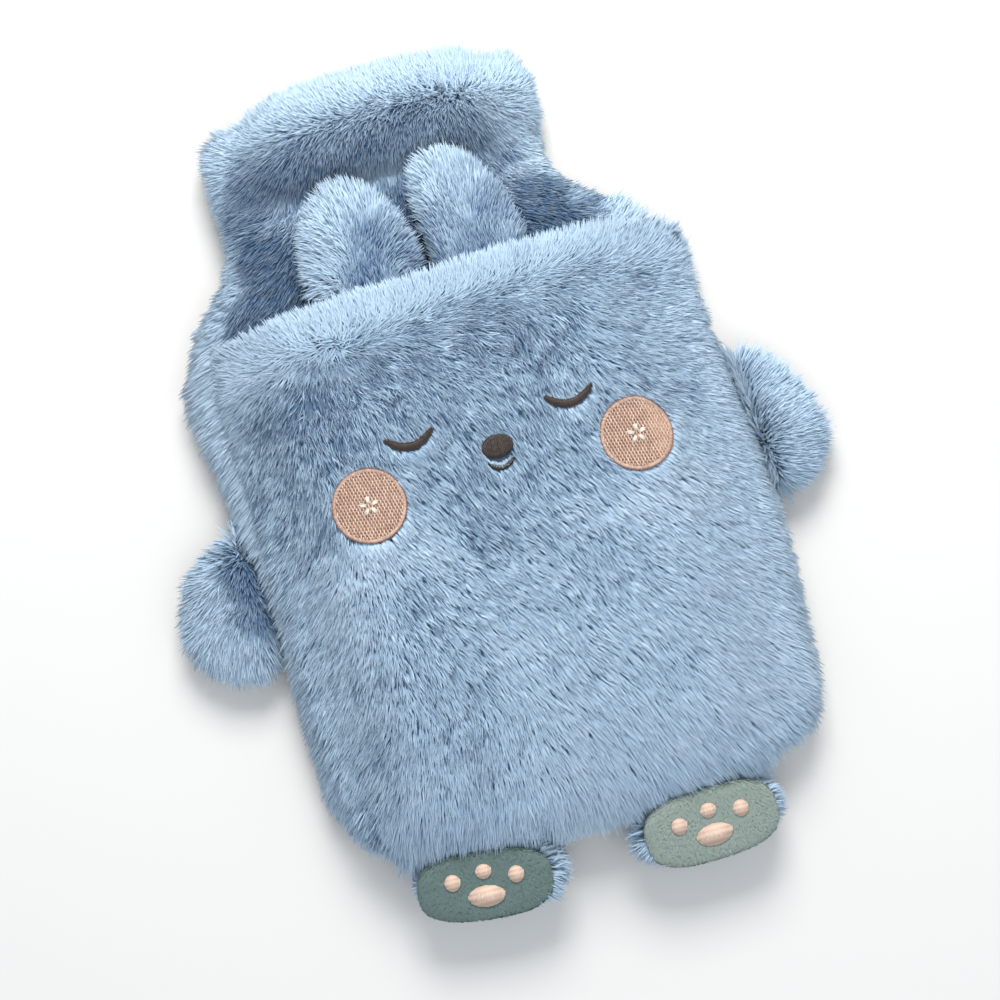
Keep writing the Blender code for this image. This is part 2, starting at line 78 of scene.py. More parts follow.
to_eye = Vector((0, 0, 1)) * math.sin(RAISED) - PICTURE_UP * math.cos(RAISED)
camera = bpy.data.objects.new("camera", bpy.data.cameras.new("camera"))
bpy.context.scene.collection.objects.link(camera)
camera.location = LOOK_AT + to_eye * FAR
camera.rotation_mode = "QUATERNION"
camera.rotation_quaternion = (-to_eye).to_track_quat("-Z", "Y")
camera.data.lens = 36.0 * FAR / SEEN
camera.data.clip_start = 0.01
bpy.context.scene.camera = camera
print("lens", round(camera.data.lens, 1), "mm")

# %% [markdown]
# ## The room
# A plain pale floor and soft studio light. The light in the picture comes from the top edge,
# so a large lamp stands there and a larger, weaker one opposite keeps the shadows open. Area
# lamps are used because their size is what makes a shadow's edge soft. The colours are shown
# without a film curve, so that a colour set here is the colour seen.

# %% Floor, lamps and surroundings
def lamp(name, place, size, power, colour):
    """A square area lamp that faces the cover."""
    light = bpy.data.lights.new(name, "AREA")
    light.size, light.energy, light.color = size, power, colour
    thing = bpy.data.objects.new(name, light)
    bpy.context.scene.collection.objects.link(thing)
    thing.location = place
    thing.rotation_mode = "QUATERNION"
    thing.rotation_quaternion = (LOOK_AT - Vector(place)).to_track_quat("-Z", "Y")
    return thing


def plain_floor():
    """A pale floor, much larger than the cover, at the height the cover lies on."""
    shape = bmesh.new()
    bmesh.ops.create_grid(shape, x_segments=1, y_segments=1, size=3.0)
    mesh = bpy.data.meshes.new("floor")
    shape.to_mesh(mesh)
    shape.free()
    floor = bpy.data.objects.new("floor", mesh)
    bpy.context.scene.collection.objects.link(floor)
    paint = bpy.data.materials.new("pale_floor")
    paint.use_nodes = True
    shader = paint.node_tree.nodes["Principled BSDF"]
    shader.inputs["Base Color"].default_value = (0.66, 0.65, 0.63, 1)
    shader.inputs["Roughness"].default_value = 0.9
    mesh.materials.append(paint)
    floor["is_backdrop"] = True
    return floor


plain_floor()
lamp("key", LOOK_AT + PICTURE_UP * 0.80 + Vector((-0.05, 0.0, 0.80)), 0.55, 15.0, (1.0, 0.98, 0.95))
lamp("fill", LOOK_AT - PICTURE_UP * 0.55 + Vector((0.20, 0.0, 1.10)), 1.30, 7.0, (0.93, 0.97, 1.0))
world = bpy.data.worlds.new("room")
bpy.context.scene.world = world
world.use_nodes = True
world.node_tree.nodes["Background"].inputs["Color"].default_value = (0.80, 0.86, 0.95, 1)
world.node_tree.nodes["Background"].inputs["Strength"].default_value = 0.62
bpy.context.scene.view_settings.view_transform = "Standard"

# %% [markdown]
# ## Node groups for the finishes
# Three effects serve more than one material, so each is a node group, built once and given its
# own values in every material. The first colours a hair: painted shade makes it dark and blue
# at its root where little light gets in, painted light makes it pale at its tip, and its tone
# holds painted light and shade. The second is the twist of embroidery thread, with painted light
# where its strands turn up and painted shade towards its ends. The third is soft mottling of a
# plush cloth: cloudy lighter and darker patches, painted sheen of a crushed nap, and a fine nap.
# A group only gives colours and heights; the Principled shader stays in each material.

# %% Building node groups
def group_with(name, inputs, outputs):
    """A new shader group. inputs and outputs are rows of a name, a socket type and a value."""
    group = bpy.data.node_groups.new(name, "ShaderNodeTree")
    for in_out, rows in (("INPUT", inputs), ("OUTPUT", outputs)):
        for label, kind, value in rows:
            socket = group.interface.new_socket(name=label, in_out=in_out, socket_type="NodeSocket" + kind)
            if value is not None:
                socket.default_value = value
    start = group.nodes.new("NodeGroupInput")
    end = group.nodes.new("NodeGroupOutput")
    return group, start, end


def ramped(tree, value, low, high, to_low=0.0, to_high=1.0):
    """A soft step of a value between two limits."""
    step = tree.nodes.new("ShaderNodeMapRange")
    step.interpolation_type = "SMOOTHSTEP"
    for label, number in (("From Min", low), ("From Max", high), ("To Min", to_low), ("To Max", to_high)):
        step.inputs[label].default_value = number
    tree.links.new(value, step.inputs["Value"])
    return step.outputs["Result"]


def mixed(tree, share, first, second):
    """A mix of two colours, each a socket or a plain colour."""
    mix = tree.nodes.new("ShaderNodeMix")
    mix.data_type = "RGBA"
    tree.links.new(share, mix.inputs["Factor"])
    for label, colour in (("A", first), ("B", second)):
        socket = next(s for s in mix.inputs if s.name == label and s.type == "RGBA")
        if isinstance(colour, tuple):
            socket.default_value = (*colour, 1)
        else:
            tree.links.new(colour, socket)
    return next(s for s in mix.outputs if s.type == "RGBA")


def sums(tree, operation, first, second):
    """A Math node of two values, each a socket or a number."""
    math_node = tree.nodes.new("ShaderNodeMath")
    math_node.operation = operation
    for slot, value in enumerate((first, second)):
        if isinstance(value, (int, float)):
            math_node.inputs[slot].default_value = value
        else:
            tree.links.new(value, math_node.inputs[slot])
    return math_node.outputs[0]


def make_hair_colour():
    """Group: the colour of a hair from its tone, which holds painted light and shade, and the place along it,
    with painted shade at the root.
    """
    white = (1.0, 1.0, 1.0, 1.0)
    group, start, end = group_with(
        "hair_colour",
        (("Tone", "Float", 0.5), ("Along", "Float", 0.5), ("Root", "Color", white), ("Shade", "Color", white),
         ("Body", "Color", white), ("Bright", "Color", white), ("Tip", "Color", white)),
        (("Color", "Color", None),),
    )
    tone, along = start.outputs["Tone"], start.outputs["Along"]
    low = mixed(group, ramped(group, tone, 0.0, 0.5), start.outputs["Shade"], start.outputs["Body"])
    body = mixed(group, ramped(group, tone, 0.5, 1.0), low, start.outputs["Bright"])
    pale = ramped(group, tone, 0.42, 0.68, 0.0, 0.92)
    root = mixed(group, pale, start.outputs["Root"], start.outputs["Body"])
    grown = mixed(group, ramped(group, along, 0.05, 0.55), root, body)
    tipped = mixed(group, ramped(group, along, 0.6, 1.0, 0.0, 0.4), grown, start.outputs["Tip"])
    group.links.new(tipped, end.inputs["Color"])
    return group


def make_thread_twist():
    """Group: the strands of a thread, with painted light where a strand turns up and painted shade towards
    the thread's ends. Around and Along are the places on its own map.
    """
    group, start, end = group_with(
        "thread_twist",
        (("Around", "Float", 0.0), ("Along", "Float", 0.0), ("Turns", "Float", 5.0)),
        (("Lit", "Float", None), ("Height", "Float", None)),
    )
    turned = sums(group, "MULTIPLY", start.outputs["Along"], start.outputs["Turns"])
    phase = sums(group, "ADD", turned, sums(group, "MULTIPLY", start.outputs["Around"], 2.0))
    wave = sums(group, "SINE", sums(group, "MULTIPLY", phase, 2 * math.pi), 0.0)
    height = sums(group, "ADD", sums(group, "MULTIPLY", wave, 0.5), 0.5)
    off_middle = sums(group, "ABSOLUTE", sums(group, "SUBTRACT", start.outputs["Along"], 0.5), 0.0)
    around = sums(group, "MULTIPLY", start.outputs["Around"], 0.6)
    own = sums(group, "ADD", around, sums(group, "MULTIPLY", height, 0.4))
    lit = sums(group, "MULTIPLY", own, ramped(group, off_middle, 0.15, 0.5, 1.0, 0.4))
    group.links.new(lit, end.inputs["Lit"])
    group.links.new(height, end.inputs["Height"])
    return group


def make_plush_mottle():
    """Group: cloudy lighter and darker patches, painted sheen of a crushed nap, and the fine nap of a short
    plush or a knitted ground.
    """
    group, start, end = group_with(
        "plush_mottle",
        (("Vector", "Vector", None), ("Cloud Size", "Float", 60.0), ("Nap Size", "Float", 900.0),
         ("First", "Color", (1.0, 1.0, 1.0, 1.0)), ("Second", "Color", (0.5, 0.5, 0.5, 1.0))),
        (("Color", "Color", None), ("Height", "Float", None)),
    )
    found = []
    for label, detail in (("Cloud Size", 2.0), ("Nap Size", 1.0)):
        noise = group.nodes.new("ShaderNodeTexNoise")
        noise.inputs["Detail"].default_value = detail
        group.links.new(start.outputs["Vector"], noise.inputs["Vector"])
        group.links.new(start.outputs[label], noise.inputs["Scale"])
        found.append(noise.outputs["Fac"])
    coarse = sums(group, "MULTIPLY", found[0], 0.55)
    both = sums(group, "ADD", coarse, sums(group, "MULTIPLY", found[1], 0.45))
    share = ramped(group, both, 0.36, 0.64)
    colour = mixed(group, share, start.outputs["First"], start.outputs["Second"])
    group.links.new(colour, end.inputs["Color"])
    group.links.new(found[1], end.inputs["Height"])
    return group


HAIR_COLOUR, THREAD_TWIST, PLUSH_MOTTLE = make_hair_colour(), make_thread_twist(), make_plush_mottle()
print("groups:", [g.name for g in bpy.data.node_groups])

# %% [markdown]
# ## Colours
# Every colour is given as the picture shows it, on a scale of 0 to 255, and turned into the
# linear values that the shader counts in. A picker in the editor does the same turn.

# %% A colour as it is seen
def seen(red, green, blue):
    """The linear colour of a colour on a screen."""
    def linear(value):
        value /= 255.0
        return value / 12.92 if value <= 0.04045 else ((value + 0.055) / 1.055) ** 2.4

    return linear(red), linear(green), linear(blue)


print("pile colour in linear values:", [round(c, 3) for c in seen(165, 195, 225)])

# %% [markdown]
# ## Materials
# A hair material reads its piece's own map: across it runs each hair's tone, which holds painted
# light and shade, and up it the place from root to tip. That way thousands of hairs share one
# small map, and each still has its own colour. Sheen is the pale edge light of fine fibres, and it
# is set on the shader's own socket.
# The ground and the sole's velvet read Object coordinates, which keep a pattern's real size.

# %% Materials of the cloth, the pile and the threads
def new_material(name, roughness, sheen=0.0, sheen_tint=(1.0, 1.0, 1.0), specular=0.3):
    """A material with its Principled shader, and the shader."""
    paint = bpy.data.materials.new(name)
    paint.use_nodes = True
    shader = paint.node_tree.nodes["Principled BSDF"]
    shader.inputs["Roughness"].default_value = roughness
    shader.inputs["Sheen Weight"].default_value = sheen
    shader.inputs["Sheen Roughness"].default_value = 0.4
    shader.inputs["Sheen Tint"].default_value = (*sheen_tint, 1)
    shader.inputs["Specular IOR Level"].default_value = specular
    return paint, paint.node_tree, shader


def placed(tree, group, **values):
    """A node group put in a material with its own values."""
    node = tree.nodes.new("ShaderNodeGroup")
    node.node_tree = group
    for label, value in values.items():
        socket = node.inputs[label.replace("_", " ")]
        socket.default_value = (*value, 1) if isinstance(value, tuple) else value
    return node


def own_map(tree):
    """The two values of the piece's own map."""
    uv = tree.nodes.new("ShaderNodeUVMap")
    uv.uv_map = "OFBake"
    split = tree.nodes.new("ShaderNodeSeparateXYZ")
    tree.links.new(uv.outputs["UV"], split.inputs["Vector"])
    return split.outputs["X"], split.outputs["Y"]


def bumped(tree, shader, height, distance, strength):
    """Feeds a height to the shader's normal."""
    bump = tree.nodes.new("ShaderNodeBump")
    bump.inputs["Distance"].default_value = distance
    bump.inputs["Strength"].default_value = strength
    tree.links.new(height, bump.inputs["Height"])
    tree.links.new(bump.outputs["Normal"], shader.inputs["Normal"])


def hair_material(name, root, shade, body, bright, tip, sheen):
    """Hair coloured from root to tip, with painted shade at the root, each by its tone, which holds painted
    light and shade.
    """
    paint, tree, shader = new_material(name, 0.8, sheen, specular=0.12)
    tone, along = own_map(tree)
    colour = placed(tree, HAIR_COLOUR, Root=root, Shade=shade, Body=body, Bright=bright, Tip=tip)
    tree.links.new(tone, colour.inputs["Tone"])
    tree.links.new(along, colour.inputs["Along"])
    tree.links.new(colour.outputs["Color"], shader.inputs["Base Color"])
    return paint


def plush_material(name, first, second, cloud, nap, depth, sheen):
    """A mottled short plush or knitted ground."""
    paint, tree, shader = new_material(name, 0.9, sheen, specular=0.15)
    coordinates = tree.nodes.new("ShaderNodeTexCoord")
    mottle = placed(tree, PLUSH_MOTTLE, Cloud_Size=cloud, Nap_Size=nap, First=first, Second=second)
    tree.links.new(coordinates.outputs["Object"], mottle.inputs["Vector"])
    tree.links.new(mottle.outputs["Color"], shader.inputs["Base Color"])
    bumped(tree, shader, mottle.outputs["Height"], depth, 0.6)
    return paint


def thread_material(name, dark, light, roughness):
    """Shiny embroidery thread, lighter where its strands turn up to the light."""
    paint, tree, shader = new_material(name, roughness, 0.25, specular=0.5)
    around, along = own_map(tree)
    twist = placed(tree, THREAD_TWIST, Turns=4.0)
    tree.links.new(around, twist.inputs["Around"])
    tree.links.new(along, twist.inputs["Along"])
    tree.links.new(mixed(tree, twist.outputs["Lit"], dark, light), shader.inputs["Base Color"])
    bumped(tree, shader, twist.outputs["Height"], 0.00008, 0.5)
    return paint


BLUE_HAIR = hair_material("blue_hair", seen(116, 143, 168), seen(54, 86, 122), seen(175, 200, 220),
                          seen(197, 217, 235), seen(209, 227, 242), 0.15)
BLUE_GROUND = plush_material(
    "blue_ground", seen(114, 142, 172), seen(134, 161, 190), 45.0, 1400.0, 0.0004, 0.15)
# Both soles are one plush: the left copies are painted darker, as in shade, the right ones lighter, as in
# light, and all carry a painted greenish reflection.
SOLE_VELVET = {
    "left": plush_material(
        "sole_velvet_shaded_left", seen(92, 111, 108), seen(102, 121, 116), 90.0, 1500.0, 0.0005, 0.3),
    "right": plush_material(
        "sole_velvet_lit_right", seen(132, 146, 139), seen(143, 156, 147), 90.0, 1500.0, 0.0005, 0.3),
}
SOLE_HAIR = {
    "left": hair_material("sole_hair_shaded_left", seen(92, 111, 108), seen(90, 109, 106), seen(103, 122, 118),
                          seen(115, 134, 129), seen(119, 137, 132), 0.2),
    "right": hair_material("sole_hair_lit_right", seen(132, 146, 139), seen(130, 144, 137), seen(144, 157, 148),
                           seen(156, 168, 158), seen(160, 171, 161), 0.2),
}
BROWN_THREAD = thread_material("brown_thread", seen(18, 12, 9), seen(70, 47, 31), 0.42)
PINK_THREAD = thread_material("pink_thread", seen(170, 130, 108), seen(234, 205, 184), 0.6)
# Rose thread: a cheek's darker rim, partly a darker thread and partly painted shade.
ROSE_THREAD = thread_material("rose_thread", seen(112, 70, 62), seen(176, 122, 108), 0.55)
PALE_THREAD = thread_material("pale_thread", seen(196, 164, 144), seen(240, 218, 199), 0.55)
IVORY_THREAD = thread_material("ivory_thread", seen(188, 178, 160), seen(236, 230, 216), 0.45)
print("materials:", len(bpy.data.materials))

# %% [markdown]
# ## Reading the CAD solids
# A loaded node is loose triangles, so a copy of it is merged before it is used. Everything from
# here on is worked out in millimetres, which are easier to read, and made metres at the end. A
# finished piece keeps its object at the origin and has its place in its mesh.

# %% Copies of nodes, and finished pieces
def shape_of(node):
    """A merged copy of a CAD node, in millimetres."""
    shape = bmesh.new()
    shape.from_mesh(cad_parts[node].data)
    shape.transform(Matrix.Scale(1 / MM, 4))
    bmesh.ops.remove_doubles(shape, verts=shape.verts, dist=0.01)
    shape.normal_update()
    return shape


def piece_of(name, mesh, slot, *paints):
    """A piece of a mesh in metres: it rides on the one body and takes the given materials. slot is not used.
    """
    mesh.name = name
    for paint in paints:
        mesh.materials.append(paint)
    mesh.shade_smooth()
    piece = bpy.data.objects.new(name, mesh)
    bpy.context.scene.collection.objects.link(piece)
    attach(piece, "root")
    return piece


PANEL = BVHTree.FromBMesh(shape_of("front_pocket"))
face_top = PANEL.ray_cast((5, 6, 200), (0, 0, -1))[0].z
print("height of the panel at the middle of the face:", round(face_top, 1))

# %% [markdown]
# ## The ground cloth
# Pile cloth is a thin knitted ground with the hair standing on one side. The ground could be
# drawn anew, but the CAD solid already has its folds, so a merged copy of the solid is drawn in
# from the outside by the depth of the pile. Where the wall is thin it moves less, so the cloth
# never turns inside out. A value on each vertex says whether pile grows there: it does on the
# outside of the bag and the panel, and not in the bottle's space or on the panel's back. Soft
# parts also settle a little when they are laid down: the hem sags towards the face at one side,
# the feet slip under the pocket, one ear shifts, and one corner of the cuff's rim rises.

# %% Ground cloth of every furry part
def grows(node, place, normal):
    """1 where the outside of a part faces out, 0 on the back of its cloth."""
    if node not in ("cover_bag", "front_pocket"):
        return 1.0
    if node == "cover_bag" and normal.y > 0.5 and place.y < -100:
        return 0.0
    core = Vector((min(max(place.x, -60.0), 60.0), place.y, 9.0 if node == "cover_bag" else 4.0))
    away = place - core
    return 1.0 if normal.dot(away) > -0.25 * away.length else 0.0


# Places across the cover, and how far the hem is moved there from the solid's line.
HEM_SAG = np.array((
    (-100, -64, -40, -24, 16, 32, 48, 64, 80, 100),
    (-5, -7.6, -8.4, -8.4, -6.0, -5.2, -3.6, 1.6, 4.4, 2.5),
))
# The sag starts at this height on the panel and is whole after this many millimetres.
SAG_FROM, SAG_OVER = 30.0, 36.0
# The cuff's corner: its middle across the cover, its half width, how far it rises, and the
# height at which the rise starts with the millimetres over which it grows.
CORNER_X, CORNER_WIDTH, CORNER_RISE, CORNER_FROM, CORNER_OVER = 44.0, 13.0, 5.0, 138.0, 14.0
MOVED = {
    "foot_left": Vector((-1.5, 3.6, 0)),
    "foot_right": Vector((-4.2, 2.4, 0)),
    "ear_right": Vector((-1.8, 0.5, 0)),
}


def settled(node, place):
    """Where a point of a solid lies once the soft part has sagged."""
    if node == "front_pocket":
        share = min(max((place.y - SAG_FROM) / SAG_OVER, 0.0), 1.0)
        sag = float(np.interp(place.x, *HEM_SAG)) * share * share * (3 - 2 * share)
        return place + Vector((0, sag, 0))
    if node == "cover_bag" and place.y > CORNER_FROM:
        rise = CORNER_RISE * math.exp(-((place.x - CORNER_X) / CORNER_WIDTH) ** 2)
        rise = rise * min((place.y - CORNER_FROM) / CORNER_OVER, 1.0)
        return place + Vector((0, rise, 0))
    return place + MOVED.get(node, Vector((0, 0, 0)))


def ground_of(node, depth, share):
    """The ground cloth of a node: its solid, drawn in by depth or by a share of its wall."""
    shape = shape_of(node)
    tree = BVHTree.FromBMesh(shape)
    pile = shape.verts.layers.float.new("pile")
    moves = []
    for vert in shape.verts:
        vert[pile] = grows(node, vert.co, vert.normal)
        wall = tree.ray_cast(vert.co - vert.normal * 0.05, -vert.normal)[3]
        moves.append((vert, vert.normal.copy(), vert[pile] * min(depth, share * (wall or 20.0))))
    for vert, normal, inward in moves:
        vert.co = settled(node, vert.co - normal * inward)
    bmesh.ops.join_triangles(shape, faces=shape.faces, angle_face_threshold=0.6, angle_shape_threshold=1.2)
    shape.transform(Matrix.Scale(MM, 4))
    mesh = bpy.data.meshes.new(node)
    shape.to_mesh(mesh)
    shape.free()
    piece = piece_of(node + "_cloth", mesh, "blue_pile", BLUE_GROUND)
    rounding = piece.modifiers.new("Rounding", "SUBSURF")
    rounding.levels = rounding.render_levels = 1
    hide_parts(node)
    return piece


DEPTHS = {"cover_bag": (4.6, 0.5), "front_pocket": (4.4, 0.55)}
SOFT_PARTS = ("ear_left", "ear_right", "arm_left", "arm_right", "foot_left", "foot_right")
grounds = {node: ground_of(node, *DEPTHS.get(node, (4.2, 0.3))) for node in (*DEPTHS, *SOFT_PARTS)}
print("ground cloths:", sorted(grounds))

# %% [markdown]
# ## Where hairs stand
# Blender can scatter hair with its own hair curves, or with Geometry Nodes. Here the roots are
# picked with a few lines of array code, because the pile needs to know about its neighbours: it
# leaves out what the panel hides and makes room for the stitching. Faces are drawn by lot, large
# ones more often, and a root is set down at a chance place within each.

# %% Roots on a cloth
def cloth_faces(piece):
    """Points, normals, triangles and pile values of a finished cloth, in millimetres."""
    seen_piece = piece.evaluated_get(bpy.context.evaluated_depsgraph_get())
    mesh = seen_piece.to_mesh()
    mesh.calc_loop_triangles()
    points = np.empty((len(mesh.vertices), 3), np.float32)
    normals = np.empty_like(points)
    corners = np.empty((len(mesh.loop_triangles), 3), np.int32)
    pile = np.empty(len(mesh.vertices), np.float32)
    mesh.vertices.foreach_get("co", points.ravel())
    mesh.vertices.foreach_get("normal", normals.ravel())
    mesh.loop_triangles.foreach_get("vertices", corners.ravel())
    mesh.attributes["pile"].data.foreach_get("value", pile)
    seen_piece.to_mesh_clear()
    return points.astype(float) / MM, normals.astype(float), corners, pile.astype(float)


def unit(vectors):
    """The vectors at length one."""
    return vectors / np.maximum(np.linalg.norm(vectors, axis=1, keepdims=True), 1e-9)


def roots_on(piece, count, seed, face_share, place_share=None):
    """count places and normals on a cloth. face_share says how thick the pile grows on a face,
    and place_share how thick at a place."""
    points, normals, corners, pile = cloth_faces(piece)
    a, b, c = (points[corners[:, k]] for k in range(3))
    middle = (a + b + c) / 3
    facing = unit(normals[corners].sum(axis=1))
    weight = np.linalg.norm(np.cross(b - a, c - a), axis=1) * (pile[corners].mean(axis=1) > 0.6)
    weight = weight * face_share(middle, facing)
    chance = np.random.default_rng(seed)
    drawn = count if place_share is None else int(count * 2.8)
    picked = chance.choice(len(corners), drawn, p=weight / weight.sum())
    first, second = np.sqrt(chance.random(drawn)), chance.random(drawn)
    shares = np.stack([1 - first, first * (1 - second), first * second], axis=1)
    place = np.einsum("nk,nkd->nd", shares, points[corners[picked]])
    normal = unit(np.einsum("nk,nkd->nd", shares, normals[corners[picked]]))
    if place_share is not None:
        kept = np.flatnonzero(chance.random(drawn) < place_share(place))[:count]
        place, normal = place[kept], normal[kept]
    return place, normal


print("triangles of the bag's cloth:", len(cloth_faces(grounds["cover_bag"])[2]))

# %% [markdown]
# ## Combing
# The hair doesn't lie the same way everywhere: it flows down the pocket and outwards at its
# sides, stands up along the hem and falls over the cuff. A groomer would brush it with strokes,
# and a short table of strokes does the same. A row gives a place, the heading in degrees (0 is
# to the right across the cover, 90 is towards its neck), how steeply the hair rises from the
# cloth, its length, and how much lighter or darker it is there, which is painted light and
# shade. Between the strokes the nearest ones count most, so two close rows make a parting.

# %% Strokes, and soft unevenness
def combed(strokes, place):
    """East and north of the heading, rise, length and tone at each place."""
    rows = np.array(strokes, float)
    apart = (place[:, None, 0] - rows[None, :, 0]) ** 2 + (place[:, None, 1] - rows[None, :, 1]) ** 2
    weight = (apart + 40.0) ** -2.6
    weight /= weight.sum(axis=1, keepdims=True)
    angle = np.radians(rows[:, 2])
    rise, length, tone = (weight @ rows[:, k] for k in (3, 4, 5))
    return weight @ np.cos(angle), weight @ np.sin(angle), rise, length, tone


def ripple(place, size, seed):
    """A smooth uneven value from about -1 to 1, with swells of about the given size."""
    chance = np.random.default_rng(seed)
    total = np.zeros(len(place))
    for _ in range(7):
        way = unit(chance.normal(size=(1, 3)))[0] * (2 * math.pi / size) * chance.uniform(0.6, 1.5)
        total += np.sin(place @ way + chance.uniform(0, 2 * math.pi))
    return total / 3.0


def drawn_out(row, step=8.0):
    """A row of strokes with more of them in between, so that the hair turns evenly along it."""
    found = []
    for here, after in zip(row[:-1], row[1:]):
        turn = (after[2] - here[2] + 180.0) % 360.0 - 180.0
        parts = max(1, round(math.dist(here[:2], after[:2]) / step))
        for k in range(parts):
            between = [a + (b - a) * k / parts for a, b in zip(here, after)]
            between[2] = here[2] + turn * k / parts
            found.append(tuple(between))
    return (*found, row[-1])


tried = ripple(np.random.default_rng(1).random((500, 3)) * 200, 20, 2)
print("ripple, lowest and highest:", round(float(tried.min()), 2), round(float(tried.max()), 2))

# %% [markdown]
# ## Growing a pile
# Each hair here is a lock of a few real ones. It starts at a point in the cloth, is widest at a
# bend a little under half way, and ends in a point, so it is closed, bends over softly and
# needs only four triangles. Where strokes from two sides meet, the hair stands up instead of
# leaving a bare line. Hair that lies smooth looks pale, so pale locks are wider and lie closer. The
# map of the piece holds the tone across and the place along the hair upwards. The normals lean
# towards the cloth's own, and upwards at its edges, so that the pile is lit as one soft surface
# with a pale fringe.

# %% Locks of hair
def tufted(place, spacing, chance):
    """The number of the nearest tuft's middle for each root."""
    middles = chance.choice(len(place), max(1, int(len(place) / spacing)), replace=False)
    tree = KDTree(len(middles))
    for k, middle in enumerate(middles):
        tree.insert(place[middle], int(middle))
    tree.balance()
    return np.array([tree.find(p)[1] for p in place.tolist()])


DEEP = 0.12  # tones below it are kept for places in deep shade


def grow(place, normal, strokes, seed, lift=0.0, calm=0.0, in_tuft=10, pull=0.16, bend=13.0, least=4.0):
    """Bend and tip of each hair, and its tone. lift is an upward part of the heading, for sides,
    calm says how smooth the hair lies, and least is the least rise."""
    chance = np.random.default_rng(seed)
    east, north, rise, reach, tone = combed(strokes, place)
    together = np.hypot(east, north)
    steep = np.radians(rise)
    rise = np.degrees(np.arctan2(np.sin(steep), np.cos(steep) * np.maximum(together, 0.5)))
    wild = np.minimum(1.0 - 0.75 * calm, np.clip(1.0 - 3.0 * tone, 0.25, 1.0))
    middle = tufted(place, in_tuft, chance)
    tuft = chance.normal(size=(len(place), 4))[middle]
    own = chance.normal(size=(len(place), 4))
    broad, fine = ripple(place, 34.0, seed + 1), ripple(place, 11.0, seed + 2)
    turn = np.radians(wild * (6.0 * broad + 5.0 * fine + 4.0 * tuft[:, 0] + 9.0 * own[:, 0]))
    parted = 1.0 - np.minimum(together, 1.0)
    turn += 1.6 * own[:, 0] * parted
    flow = np.stack([east * np.cos(turn) - north * np.sin(turn), east * np.sin(turn) + north * np.cos(turn),
                     np.broadcast_to(lift, len(place))], axis=1)
    along = unit(flow - normal * (flow * normal).sum(axis=1, keepdims=True))
    below = normal[:, 2] < -0.35
    rise = rise + wild * (4.0 * broad + 3.0 * fine + 2.5 * tuft[:, 1] + 5.0 * own[:, 1])
    rise = np.where(below, 10.0, np.clip(np.maximum(rise, least), 4.0, 85.0))
    reach = reach * np.clip(1 + 0.05 * broad + 0.04 * fine + 0.04 * tuft[:, 2] + 0.12 * own[:, 2], 0.5, 1.4)
    reach *= np.clip(1.0 + 0.8 * normal[:, 2], 0.5, 1.0)

    def toward(angle):
        angle = np.radians(angle)[:, None]
        return np.cos(angle) * along + np.sin(angle) * normal

    elbow = place + toward(rise + bend) * (0.44 * reach)[:, None]
    tip = elbow + toward(rise - bend) * (0.56 * reach)[:, None]
    spread = place - place[middle]
    elbow += (elbow[middle] + 0.75 * spread - elbow) * (0.4 * pull)
    tip += (tip[middle] + 0.45 * spread - tip) * pull
    elbow[:, 2] = np.maximum(elbow[:, 2], 0.5)
    tip[:, 2] = np.maximum(tip[:, 2], 0.2)
    # Hair standing at a parting and hair on the sides are painted lighter: painted light that such hair
    # catches at a rim.
    fringe = np.clip(0.5 - normal[:, 2], 0.0, 0.6)
    tone = 0.5 + tone + 0.16 * parted + 0.24 * fringe
    uneven = tone + wild * (0.05 * tuft[:, 3] + 0.14 * own[:, 3] + 0.07 * broad + 0.09 * fine)
    tone = np.maximum(uneven, np.minimum(tone, DEEP))
    return elbow, tip, np.clip(tone, 0.03, 0.97)


